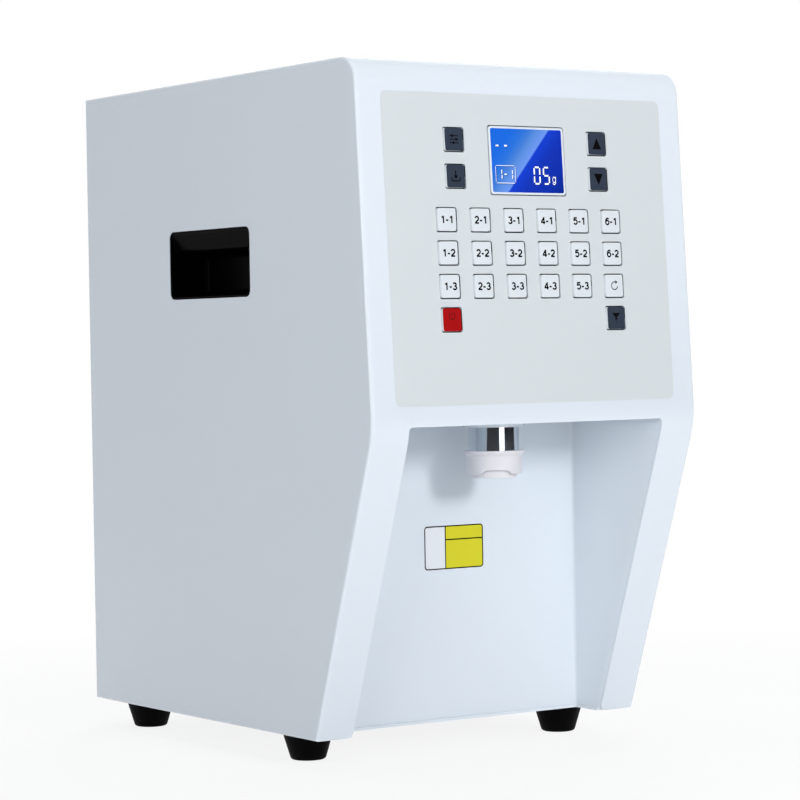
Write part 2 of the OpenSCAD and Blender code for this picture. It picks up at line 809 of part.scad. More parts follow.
// Control board with its processor, relay and two connectors
module control_board() color("#1f6b3a") on_face() translate([0, 0, -board_z - board_t]) {
    difference() {
        translate([-board_x, board_s0]) cube([2 * board_x, board_s1 - board_s0, board_t]);
        at_studs() translate([0, 0, -over]) cylinder(d = stud_d / 2 + 2 * fit_gap, h = board_t + 2 * over);
    }
    translate([-key_w, grid_s, -board_t]) cube([key_w, key_w, board_t]);
    translate([key_pitch_x, grid_s, -key_w]) cube([1.2 * key_w, key_w, key_w]);
    for (s = [-1, 1])
        translate([s * key_pitch_x - key_w, low_s + key_pitch_y, -key_w / 2])
            cube([2 * key_w, key_w / 2, key_w / 2]);
}

module tact_switches() color("#2a2c30") on_face() at_keys() translate([0, 0, -board_z]) {
    plunger_h = tact_h / 6;
    linear_extrude(tact_h - plunger_h) square(tact_w, center = true);
    cylinder(d = tact_w * 0.6, h = tact_h);
}

module key_cap(k) color(k[3]) on_face() translate([k[1], k[2], -flange_z]) {
    linear_extrude(flange_z + key_out) rounded(key_w, key_w, key_r);
    linear_extrude(key_flange_t) square(key_w + 2 * key_lip, center = true);
    translate([0, 0, -key_stem]) cylinder(d = key_stem_d, h = key_stem);
}

// Hopper section in X, Z with its walls moved in by d
module hopper_section(d, rise) {
    x = hopper_x - d;
    r = trough_r + hopper_wall - d;
    translate([0, auger_z]) circle(r);
    polygon([
        [-r, auger_z], [r, auger_z], [x, auger_z + hopper_shoulder],
        [x, hopper_top + rise], [-x, hopper_top + rise], [-x, auger_z + hopper_shoulder]
    ]);
}

// Hopper: a trough along the auger with sloping sides, open at the top and into the barrel
module hopper() color("#eef0f0") difference() {
    hopper_l = hopper_y1 - hopper_y0;
    union() {
        upright(hopper_y0, hopper_l) hopper_section(0, 0);
        translate([-hopper_x - hopper_rim, hopper_y0 - hopper_rim, hopper_top - hopper_rim_t])
            cube([2 * (hopper_x + hopper_rim), hopper_l + 2 * hopper_rim, hopper_rim_t]);
    }
    upright(hopper_y0 + hopper_wall, hopper_l - 2 * hopper_wall) hopper_section(hopper_wall, over);
    bar_y(hopper_y0 - over, auger_z, 2 * trough_r, hopper_wall + 2 * over);
    bar_y(hopper_y1 - hopper_wall - over, auger_z, bush_d(shaft_d), hopper_wall + 2 * over);
    for (y = [hopper_y0, hopper_y1 - hopper_wall])
        bar_y(y - over, agit_z, bush_d(agit_d), hopper_wall + 2 * over);
}

// Two saddles under the hopper and the motor's plate, each with a foot on the deck
module hopper_brackets() color(steel) {
    for (y = [hopper_y0 + bracket_in, hopper_y1 - bracket_in - bracket_t]) difference() {
        bracket(y, auger_z - deck_top - barrel_lip);
        bar_y(y - over, auger_z, 2 * (trough_r + hopper_wall + fit_gap), bracket_in);
    }
    difference() {
        bracket(plate_y, auger_z + gearbox_d / 2 - deck_top);
        bar_y(plate_y - over, auger_z, shaft_d + 2 * over, bracket_t + 2 * over);
    }
}

// Folded bracket: an upright plate of height h with a foot towards the front
module bracket(y, h) {
    foot = bracket_in - bracket_t;
    translate([-bracket_x, y, deck_top]) cube([2 * bracket_x, bracket_t, h]);
    for (s = [-1, 1])
        translate([s * (bracket_x - foot / 2) - foot / 2, y - foot, deck_top]) cube([foot, foot, bracket_t]);
}

// Barrel in front of the hopper, with the outlet in its underside and the front bush in its end
module auger_barrel() color("#eef0f0") difference() {
    union() {
        bar_y(barrel_y, auger_z, 2 * barrel_r, hopper_y0 - barrel_y);
        bar_y(hopper_y0 - barrel_flange_t, auger_z, 2 * (barrel_r + barrel_lip), barrel_flange_t);
    }
    bar_y(barrel_y + barrel_end_t, auger_z, 2 * trough_r, hopper_y0 - barrel_y);
    bar_y(barrel_y - over, auger_z, bush_d(journal_d), barrel_end_t + 2 * over);
    translate([0, outlet_y, auger_z - barrel_r - over]) cylinder(d = tube_d - 2 * tube_wall, h = barrel_r);
}

// Auger: a screw flight around a core, with a front journal and a socket for the drive shaft
module auger_screw() color(natural_plastic) {
    l = auger_y1 - auger_y0;
    turns = l / auger_pitch;
    half_a = 180 * flight_t / auger_pitch;
    difference() {
        translate([0, auger_y0, auger_z]) rotate([-90, 0, 0])
            linear_extrude(height = l, twist = 360 * turns, slices = ceil(12 * turns)) {
                circle(d = core_d, $fn = 12);
                polygon(concat([[0, 0]], [for (a = [-half_a, 0, half_a]) auger_d / 2 * [cos(a), sin(a)]]));
            }
        bar_y(auger_y1 - shaft_grip, auger_z, shaft_d + 2 * run_gap, shaft_grip + over);
    }
    bar_y(barrel_y, auger_z, journal_d, auger_y0 - barrel_y + over);
}

module auger_shaft() color(steel) {
    y = auger_y1 - shaft_grip + end_gap;
    bar_y(y, auger_z, shaft_d, gearbox_y + gearbox_l / 2 - y);
}

function inv_deg(a) = tan(a) * 180 / PI - a;

// Half angle of a tooth of an n-tooth gear at radius r
function tooth_half(n, r) =
    let (pitch_r = gear_m * n / 2, base_r = pitch_r * cos(20))
    90 / n + inv_deg(20) - inv_deg(acos(min(1, base_r / r))) - gear_slack / pitch_r * 180 / PI;

// Spur gear with involute flanks: n teeth, one of them turned to angle a, and a bore d
module spur_gear(n, a, d) {
    root_r = gear_m * (n / 2 - 1.25);
    tip_r = gear_m * (n / 2 + 1);
    steps = 4;
    radii = [for (i = [0:steps]) root_r + (tip_r - root_r) * i / steps];
    linear_extrude(gear_w) difference() {
        polygon([for (t = [0:n - 1], side = [-1, 1], i = [0:steps])
            let (r = radii[side < 0 ? i : steps - i], b = a + 360 * t / n + side * tooth_half(n, r))
            r * [cos(b), sin(b)]]);
        circle(d = d + 2 * run_gap);
    }
}

module auger_gear() color("#d9a441")
    translate([0, gear_y, auger_z]) rotate([-90, 0, 0]) spur_gear(auger_teeth, 90, shaft_d);

module agitator_gear() color("#d9a441")
    translate([0, gear_y, agit_z]) rotate([-90, 0, 0]) spur_gear(agit_teeth, 90 + 180 / agit_teeth, agit_d);

// Agitator: a shaft with arms that carry two wiper bars
module agitator() color(steel) {
    y0 = hopper_y0 + hopper_wall + bracket_in;
    y1 = hopper_y1 - hopper_wall - bracket_in;
    bar_r = agit_r - agit_rod_d / 2;
    bar_y(hopper_y0, agit_z, agit_d, gear_y + gear_w - hopper_y0);
    for (i = [0:agit_arms - 1])
        translate([-bar_r, y0 + (y1 - y0) * (i + 0.5) / agit_arms, agit_z])
            rotate([0, 90, 0]) cylinder(d = agit_rod_d, h = 2 * bar_r);
    for (s = [-1, 1]) translate([s * bar_r, 0, 0]) bar_y(y0, agit_z, agit_rod_d, y1 - y0);
}

function bush_d(d) = d + 2 * bush_wall;

// Bush for a shaft d in a wall from y of thickness t, with its lip on the side given
module bush(y, z, d, t, lip_side) difference() {
    union() {
        bar_y(y, z, bush_d(d) - 2 * run_gap, t);
        bar_y(lip_side > 0 ? y + t : y - bush_lip, z, bush_d(d) + 2 * bush_rim, bush_lip);
    }
    bar_y(y - bush_lip - over, z, d + 2 * run_gap, t + 2 * bush_lip + 2 * over);
}

module shaft_bushes() color("#c9b27a") {
    bush(barrel_y, auger_z, journal_d, barrel_end_t, 1);
    bush(hopper_y1 - hopper_wall, auger_z, shaft_d, hopper_wall, 1);
    bush(hopper_y0, agit_z, agit_d, hopper_wall, 1);
    bush(hopper_y1 - hopper_wall, agit_z, agit_d, hopper_wall, 1);
}

// Gear motor on the back of its plate, with the drive shaft in its hollow output
module gear_motor() color("#8d9298") difference() {
    union() {
        bar_y(gearbox_y, auger_z, gearbox_d, gearbox_l);
        bar_y(gearbox_y + gearbox_l, auger_z, motor_d, motor_l);
    }
    bar_y(gearbox_y - over, auger_z, shaft_d + 2 * run_gap, gearbox_l / 2 + 2 * over);
}

// Polished tube from the barrel down through the deck
module outlet_tube() color(steel) difference() {
    tube_z = nozzle_top - nozzle_hold;
    translate([0, outlet_y, tube_z]) cylinder(d = tube_d, h = auger_z - tube_z);
    translate([0, outlet_y, tube_z - over]) cylinder(d = tube_d - 2 * tube_wall, h = auger_z - tube_z);
    bar_y(outlet_y - tube_d, auger_z, 2 * (barrel_r + fit_gap), 2 * tube_d);
}

// Nozzle: a rimmed sleeve on the tube, three arched notches in its lower edge, and a tapered tip
module outlet_nozzle() color(natural_plastic) translate([0, outlet_y, nozzle_top]) {
    bore_r = tube_r + run_gap;
    tip_r = nozzle_tip_d / 2;
    duct_r = tip_r - nozzle_wall / 2;
    arch_r = (pow(notch_w / 2, 2) + pow(notch_rise, 2)) / (2 * notch_rise);
    difference() {
        rotate_extrude() polygon([
            [bore_r, 0], [sleeve_r + nozzle_rim, 0], [sleeve_r + nozzle_rim, -nozzle_rim_h],
            [sleeve_r, -nozzle_rim_h - nozzle_rim], [sleeve_r, -sleeve_h], [bore_r, -sleeve_h]
        ]);
        for (a = [0:120:240]) rotate(a - 30) translate([0, 0, notch_rise - sleeve_h - arch_r])
            rotate([90, 0, 0]) cylinder(r = arch_r, h = 2 * sleeve_r);
    }
    rotate_extrude() polygon([
        [bore_r, -nozzle_hold], [bore_r, notch_rise / 2 - sleeve_h],
        [tip_r, -nozzle_h], [duct_r, -nozzle_h], [duct_r, -nozzle_hold]
    ]);
}

// Mains inlet: a housing with a socket recess below and a rocker well above
module power_inlet() color(black_plastic) {
    well = [rocker_w + 2 * rocker_gap, rocker_h + 2 * fit_gap + 2 * run_gap];
    floor_y = rear_face + inlet_flange_t - socket_deep;
    pin_span = rocker_h + 2 * (rocker_pin_l + fit_gap);
    difference() {
        union() {
            upright(rear_face - inlet_deep, inlet_deep) at_inlet() square([inlet_w, inlet_h], center = true);
            upright(rear_face, inlet_flange_t)
                at_inlet() square([inlet_w + 2 * inlet_lip, inlet_h + 2 * inlet_lip], center = true);
        }
        upright(floor_y, socket_deep + over) at_inlet() translate([0, -inlet_split])
            square([socket_w, socket_h], center = true);
        upright(rear_face - 2 * rocker_back, 4 * rocker_back) at_inlet() translate([0, inlet_split])
            square(well, center = true);
        at_rocker() cylinder(d = rocker_pin_d + 2 * run_gap, h = pin_span, center = true);
    }
    for (x = [-1, 0, 1]) upright(floor_y - over, socket_deep * 0.6) at_inlet()
        translate([x * socket_w * 0.29, (x == 0 ? 0.1 : -0.1) * socket_h - inlet_split])
            square([socket_w / 12, socket_h / 4], center = true);
}

// The rocker's pivot, along Z
module at_rocker() {
    translate([inlet_c[0], rear_face - rocker_pivot, inlet_c[1] + inlet_split]) children();
}

// Rocker of the mains switch, tipped to its off side
module power_rocker() color("#2a2c30") at_rocker() rotate(-rocker_swing) {
    translate([0, 0, -rocker_h / 2]) linear_extrude(rocker_h) translate([0, rocker_pivot]) polygon([
        [-rocker_w / 2, -rocker_back], [rocker_w / 2, -rocker_back], [rocker_w / 2, rocker_front],
        [0, rocker_front - rocker_dip], [-rocker_w / 2, rocker_front]
    ]);
    cylinder(d = rocker_pin_d, h = rocker_h + 2 * rocker_pin_l, center = true);
}

// Enclosed power supply with a vented cover and mounting tabs
module power_supply() color(steel) {
    tab = 8;
    hole_pitch = psu_d / 6;
    translate([psu_x, rear_y - psu_rear - psu_d / 2, base_top]) {
        difference() {
            translate([-psu_w / 2, -psu_d / 2, 0]) cube([psu_w, psu_d, psu_h]);
            for (i = [-2:2], j = [-1.5:1.5]) translate([i * hole_pitch, j * hole_pitch, psu_h - sheet_t])
                cylinder(d = hole_pitch / 2, h = sheet_t + over);
        }
        for (s = [-1, 1]) difference() {
            translate([s * (psu_w + tab) / 2 - tab / 2, -psu_d / 4, 0]) cube([tab, psu_d / 2, sheet_t]);
            translate([s * (psu_w + tab) / 2, 0, -over]) cylinder(d = screw_d, h = sheet_t + 2 * over);
        }
    }
}

base_plate();
left_side_panel();
right_side_panel();
front_fascia();
bay_liner();
deck_plate();
top_panel();
rear_panel();
panel_screws();
feet();
left_handle();
right_handle();
lid();
lid_hinge_brackets();
lid_hinge_pins();
control_overlay();
display_bezel();
display_window();
display_module();
control_board();
tact_switches();
hopper();
hopper_brackets();
auger_barrel();
auger_screw();
auger_shaft();
auger_gear();
agitator();
agitator_gear();
shaft_bushes();
gear_motor();
outlet_tube();
outlet_nozzle();
power_inlet();
power_rocker();
power_supply();
for (k = KEYS) key_cap(k);
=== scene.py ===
"""Looks of a counter-top powder dosing dispenser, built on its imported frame. Lengths are in metres."""

import bmesh
import bpy
import numpy as np
from bpy.props import FloatProperty, FloatVectorProperty, PointerProperty
from mathutils import Matrix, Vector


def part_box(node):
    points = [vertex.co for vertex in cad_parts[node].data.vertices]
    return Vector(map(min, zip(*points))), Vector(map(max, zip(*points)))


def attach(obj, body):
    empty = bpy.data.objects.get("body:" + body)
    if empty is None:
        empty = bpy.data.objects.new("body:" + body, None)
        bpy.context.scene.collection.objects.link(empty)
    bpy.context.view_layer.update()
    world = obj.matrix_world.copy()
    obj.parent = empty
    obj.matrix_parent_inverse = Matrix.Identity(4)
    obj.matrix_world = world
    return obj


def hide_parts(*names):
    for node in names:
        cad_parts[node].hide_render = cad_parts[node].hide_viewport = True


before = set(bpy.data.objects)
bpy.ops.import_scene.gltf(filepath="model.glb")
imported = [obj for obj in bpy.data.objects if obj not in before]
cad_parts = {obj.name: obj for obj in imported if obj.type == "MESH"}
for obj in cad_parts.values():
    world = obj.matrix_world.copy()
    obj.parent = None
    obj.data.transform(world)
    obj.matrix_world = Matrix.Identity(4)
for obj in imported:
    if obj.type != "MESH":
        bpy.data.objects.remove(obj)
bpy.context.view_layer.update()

bl_info = {
    "name": "Powder dosing dispenser",
    "version": (1, 0, 0),
    "blender": (4, 5, 0),
    "location": "3D View > Sidebar > Dispenser",
    "description": "Builds the panels, keys, outlet, finishes and stage of a powder dispenser on its frame",
    "category": "Add Mesh",
}


# Units and colours

def mm(value):
    """Millimetres as metres."""
    return value * 0.001


def linear(hex_colour):
    """An sRGB hex colour as linear red, green and blue."""
    srgb = np.array([int(hex_colour[i:i + 2], 16) for i in (0, 2, 4)]) / 255
    return tuple(np.where(srgb <= 0.04045, srgb / 12.92, ((srgb + 0.055) / 1.055) ** 2.4).tolist())


def length(name, description, size):
    """A length that the user may change, its default given in millimetres."""
    return FloatProperty(name=name, description=description, default=mm(size), min=0.0, unit="LENGTH",
                         precision=4)


def angle(name, description, degrees):
    """An angle that the user may change, its default given in degrees."""
    return FloatProperty(name=name, description=description, default=float(np.radians(degrees)),
                         subtype="ANGLE", unit="ROTATION")


def colour(name, description, hex_colour):
    """A colour that the user may change, its default given as sRGB hex."""
    return FloatVectorProperty(name=name, description=description, default=linear(hex_colour), size=3,
                               min=0.0, max=1.0, subtype="COLOR")


class CabinetSizes(bpy.types.PropertyGroup):
    """Sizes of the painted sheet-steel cabinet"""
    sheet: length("Sheet", "Thickness of the painted panels", 2)
    edge_r: length("Edge radius", "Outside radius of the fold between a side and the front", 2)
    nose_r: length("Nose radius", "Radius of the nose below the keypad", 60)
    nose_z: length("Nose height", "Height of the nose's centre above the floor", 228.7)
    face_lean: angle("Face lean", "Lean of the keypad face from upright", 3.6)
    under_lean: angle("Under lean", "Lean of the flanges beside the cup bay from upright", 19.9)
    top_r: length("Top radius", "Radius of the rolled edge between keypad face and top", 18)
    top_lap: length("Top lap", "Flat lap of the front sheet on the top", 10)
    bay_w: length("Bay width", "Clear width of the cup bay", 204)
    bay_r: length("Bay radius", "Radius of the upright corners at the back of the bay", 2)
    mouth_r: length("Mouth radius", "Radius of the upper corners of the bay's mouth", 2.5)
    flange_r: length("Flange radius", "Radius of the lower inner corners of the front flanges", 4.5)
    lid_gap: length("Lid gap", "Gap round the filling lid", 1)
    hinge_gap: length("Hinge gap", "Gap behind the lid's knuckles", 1.6)
    dish_r: length("Dish radius", "Radius of the finger dish before the lid", 14)
    dish_depth: length("Dish depth", "Depth of the finger dish", 12)


class HandleSizes(bpy.types.PropertyGroup):
    """Sizes of the recessed carrying handles"""
    width: length("Width", "Width of the opening in the side panel", 107)
    height: length("Height", "Height of the opening in the side panel", 46.8)
    corner: length("Corner", "Corner radius of the opening", 5)
    depth: length("Depth", "Depth of the cup's floor below the side panel", 28)
    slope: length("Slope", "How far the finger slope comes down at the cup's floor", 12.1)


class KeypadSizes(bpy.types.PropertyGroup):
    """Sizes of the keys, their print and the display"""
    cap: length("Cap", "Width of a key cap", 14.6)
    cap_r: length("Cap corner", "Corner radius of a key cap", 1.5)
    cap_edge: length("Cap edge", "Rounding of a cap's upper edge", 0.25)
    cap_out: length("Cap height", "How far a cap stands out of the sheet", 1.6)
    cap_draft: length("Cap draft", "How far a cap's left and right walls come in from foot to top", 0.6)
    cap_left: length("Cap offset", "How far a cap stands to the left of the middle of its switch", 0.6)
    cap_gap: length("Cap gap", "Gap between a cap and its hole, above and below", 0.8)
    gap_left: length("Left gap", "Gap between a cap and its hole, on the left", 0.02)
    gap_right: length("Right gap", "Gap between a cap and its hole, on the right", 1.1)
    digits: length("Digits", "Height of the numbers on the keys", 4.7)
    signs: length("Signs", "Height of the signs on the dark keys", 7)
    overlay_r: length("Overlay corner", "Corner radius of the overlay film", 4.5)
    rim_w: length("Rim width", "Outside width of the display's rim", 60)
    rim_h: length("Rim height", "Outside height of the display's rim", 44)
    rim_band: length("Rim band", "Width of the rim's face", 1.35)
    rim_out: length("Rim out", "How far the rim stands out of the sheet", 0.8)
    rim_gap: length("Rim gap", "Gap between the rim and its hole", 0.7)


class LabelSizes(bpy.types.PropertyGroup):
    """Sizes and place of the blank label on the bay's back wall"""
    width: length("Width", "Width of the label", 48.8)
    height: length("Height", "Height of the label", 29.8)
    corner: length("Corner", "Corner radius of the label", 2.5)
    middle: length("Middle", "Height of the label's middle above the floor", 136.2)
    border: length("Border", "Width of the border line with its margin", 1)
    line: length("Line", "Width of the lines between the fields", 0.85)
    split: length("Split", "From the label's middle left to the line beside the coloured field", 7)
    ledge: length("Ledge", "From the label's middle up to the line across the coloured field", 5.2)


class Colours(bpy.types.PropertyGroup):
    """Colours of the finishes"""
    paint: colour("Paint", "Enamel of the cabinet", "E4EBF2")
    overlay: colour("Overlay", "Film behind the keys", "D7DCDE")
    rim: colour("Rim", "Rim of the display", "E8EEF4")
    key: colour("Key", "White key caps", "E0E5E9")
    slate: colour("Slate", "Film on the dark keys", "2F3846")
    red: colour("Red", "Film on the power key", "A80C0F")
    ink: colour("Ink", "Print on the keys", "050506")
    red_ink: colour("Red ink", "Sign on the power key", "5C0E12")
    black: colour("Black", "Handles", "030304")
    rubber: colour("Rubber", "Feet", "020203")
    steel: colour("Steel", "Polished outlet tube", "D5DAE0")
    nozzle: colour("Nozzle", "Outlet nozzle", "E2E0E4")
    label: colour("Label", "Coloured field of the label in the bay", "DDD51A")
    glow: colour("Glow", "Lit segments of the display", "F4F8FF")


class CameraPlace(bpy.types.PropertyGroup):
    """Where the camera stands"""
    x: FloatProperty(name="X", description="Place from left to right", default=-1.09468, unit="LENGTH")
    y: FloatProperty(name="Y", description="Place from front to back", default=-1.64179, unit="LENGTH")
    z: FloatProperty(name="Z", description="Height above the floor", default=0.27628, unit="LENGTH")
    azimuth: angle("Azimuth", "Direction of view, turned from straight back", -34.097)
    pitch: angle("Pitch", "Direction of view, up from level", -1.211)
    roll: angle("Roll", "Turn about the direction of view", -0.954)
    lens: FloatProperty(name="Lens", description="Focal length for a sensor 36 mm wide", default=126.744,
                        unit="CAMERA")


# Grids, rings and sheets

def quads(rows, cols, wrap=False):
    """Index quads of a grid of points; wrap joins the last column to the first."""
    j = np.arange(cols if wrap else cols - 1)
    i = np.arange(rows - 1)[:, None] * cols
    a, b = i + j, i + (j + 1) % cols
    return np.stack([a, b, b + cols, a + cols], -1).reshape(-1, 4)


def skin(rings, first=False, last=False, wrap=True):
    """A surface through rings of points, (rings, points, 3); its first and last ring may get a flat cap."""
    rings = np.asarray(rings, float)
    count, around = rings.shape[:2]
    faces = [quads(count, around, wrap)]
    if first:
        faces.append(np.arange(around)[None, ::-1])
    if last:
        faces.append(np.arange((count - 1) * around, count * around)[None])
    return rings.reshape(-1, 3), faces


def rounded(width, height, radius, steps=6):
    """A rounded rectangle about the origin, anticlockwise: four corner arcs of steps + 1 points each."""
    turn = np.linspace(0, np.pi / 2, steps + 1) + np.arange(4)[:, None] * np.pi / 2
    away = np.array([[1, 1], [-1, 1], [-1, -1], [1, -1]])[:, None]
    arc = radius * np.stack([np.cos(turn), np.sin(turn)], -1)
    return (away * (np.array([width, height]) / 2 - radius) + arc).reshape(-1, 2)


def eased(corners, radii, steps=5):
    """A closed outline with each corner replaced by a parabola that starts and ends a radius away from it."""
    c = np.asarray(corners, float)
    r = np.broadcast_to(radii, len(c))[:, None]
    back, on = np.roll(c, 1, 0) - c, np.roll(c, -1, 0) - c
    a = (c + r * back / np.linalg.norm(back, axis=1, keepdims=True))[:, None]
    b = (c + r * on / np.linalg.norm(on, axis=1, keepdims=True))[:, None]
    t = np.linspace(0, 1, steps)[None, :, None]
    return ((1 - t) ** 2 * a + 2 * t * (1 - t) * c[:, None] + t ** 2 * b).reshape(-1, 2)


def mitre(points):
    """Outward mitre at each point of a closed anticlockwise outline: d times it moves both sides out by d."""
    side = np.roll(points, -1, 0) - points
    out = np.stack([side[:, 1], -side[:, 0]], -1) / np.linalg.norm(side, axis=1, keepdims=True)
    before = np.roll(out, 1, 0)
    return (before + out) / (1 + (before * out).sum(1, keepdims=True))


def lathe(profile, centre, steps=64):
    """A profile of (radius, height) turned about an upright axis: x, y = centre + radius (cos, sin)."""
    turn = np.linspace(0, 2 * np.pi, steps, endpoint=False)
    r, z = np.asarray(profile, float).T[:, :, None]
    x, y = centre[0] + r * np.cos(turn), centre[1] + r * np.sin(turn)
    return skin(np.stack([x, y, np.broadcast_to(z, x.shape)], -1))


def pierced(xs, ts, holes, rounds=(), inner=(), steps=6):
    """A flat sheet in (x, t) on a grid whose lines run through every hole's sides.

    A cell whose middle lies in a hole (x0, x1, t0, t1, radius) is left out, and each corner of the hole
    gets a fan of triangles between its point and an arc. The same is done in reverse at an outer corner
    (x, t, radius, x side, t side): its cell is left out and a fan fills the arc from the arc's centre.
    Single corners of a hole, given as inner in the same way, get their fan too.
    """
    xs, ts = (np.unique(np.round(np.concatenate(lines), 7)) for lines in (xs, ts))
    mid_x, mid_t = (xs[:-1] + xs[1:]) / 2, (ts[:-1] + ts[1:]) / 2
    gone = np.zeros((len(mid_t), len(mid_x)), bool)
    arc = np.linspace(0, np.pi / 2, steps + 1)
    arc = np.stack([np.cos(arc), np.sin(arc)], -1)
    fan = np.stack([np.zeros(steps, int), np.arange(1, steps + 1), np.arange(2, steps + 2)], -1)
    points = [np.stack(np.meshgrid(xs, ts), -1).reshape(-1, 2)]
    blocks, start = [], len(points[0])
    corners = []
    for x0, x1, t0, t1, r in holes:
        gone |= ((mid_x > x0) & (mid_x < x1))[None] & ((mid_t > t0) & (mid_t < t1))[:, None]
        if r > 0:
            corners += [(x, t, r, sx, st, 1) for x, sx in ((x0, -1), (x1, 1))
                        for t, st in ((t0, -1), (t1, 1))]
    for x, t, r, sx, st in rounds:
        near = np.sort([x, x - sx * r]), np.sort([t, t - st * r])
        gone |= ((mid_x > near[0][0]) & (mid_x < near[0][1]))[None] & (
            (mid_t > near[1][0]) & (mid_t < near[1][1]))[:, None]
        corners.append((x, t, r, sx, st, 0))
    corners += [(*corner, 1) for corner in inner]
    for x, t, r, sx, st, inside in corners:
        middle = np.array([x - sx * r, t - st * r])
        points.append(np.concatenate([[[x, t]] if inside else [middle], middle + r * arc * (sx, st)]))
        ahead = (sx * st > 0) != bool(inside)
        blocks.append(start + (fan if ahead else fan[:, ::-1]))
        start += steps + 2
    cells = quads(len(ts), len(xs))[~gone.ravel()]
    return np.concatenate(points), [cells] + blocks


def flipped(faces):
    """Faces turned over."""
    return [block[:, ::-1] for block in faces]


def hole_lines(holes, rounds=()):
    """The grid lines that holes and rounded corners need, as x values and t values."""
    h = np.array(holes, float).reshape(-1, 5)
    c = np.array(rounds, float).reshape(-1, 5)
    xs = np.concatenate([h[:, 0], h[:, 1], c[:, 0], c[:, 0] - c[:, 3] * c[:, 2]])
    ts = np.concatenate([h[:, 2], h[:, 3], c[:, 1], c[:, 1] - c[:, 4] * c[:, 2]])
    return xs, ts


def used_only(points, faces):
    """Points and faces without the points that no face uses."""
    kept, places = np.unique(np.concatenate([b.ravel() for b in faces]), return_inverse=True)
    cuts = np.cumsum([b.size for b in faces])[:-1]
    return points[kept], [p.reshape(b.shape) for p, b in zip(np.split(places, cuts), faces)]


# Pieces

def make_piece(name, patches, body, stands_for=(), crease=35):
    """Joins patches of (points, faces, material) into one smooth-shaded piece that rides on a body."""
    points, faces, which, start = [], [], [], 0
    materials = list(dict.fromkeys(material for _, _, material in patches))
    for patch, blocks, material in patches:
        patch, blocks = used_only(np.asarray(patch, float).reshape(-1, 3), blocks)
        points.append(patch)
        faces += [face for block in blocks for face in (block + start).tolist()]
        which += [materials.index(material)] * sum(len(block) for block in blocks)
        start += len(patch)
    mesh = bpy.data.meshes.new(name)
    mesh.from_pydata(np.concatenate(points).tolist(), [], faces)
    mesh.polygons.foreach_set("material_index", which)
    mesh.polygons.foreach_set("use_smooth", np.ones(len(faces), bool))
    for material in materials:
        mesh.materials.append(finish(material))
    merge = bmesh.new()
    merge.from_mesh(mesh)
    bmesh.ops.remove_doubles(merge, verts=merge.verts, dist=1e-6)
    merge.to_mesh(mesh)
    merge.free()
    mesh.set_sharp_from_angle(angle=np.radians(crease))
    piece = bpy.data.objects.new(name, mesh)
    bpy.context.scene.collection.objects.link(piece)
    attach(piece, body)
    if stands_for:
        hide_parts(*stands_for)
    return piece


def even(piece):
    """Keeps broad faces flat in the shading where they meet small rounded edges."""
    piece.modifiers.new("Flat shading", "WEIGHTED_NORMAL").weight = 100


def thicken(piece, thickness, edge):
    """Gives a sheet its thickness, away from the side its faces look to, and breaks its cut edges."""
    wall = piece.modifiers.new("Thickness", "SOLIDIFY")
    wall.thickness = thickness
    wall.offset = -1.0
    wall.use_even_offset = True
    if not edge:
        even(piece)
    else:
        broken = piece.modifiers.new("Broken edges", "BEVEL")
        broken.width = edge
        broken.segments = 2
        broken.limit_method = "ANGLE"
        broken.angle_limit = np.radians(60)
        broken.harden_normals = True


# Places on the cabinet

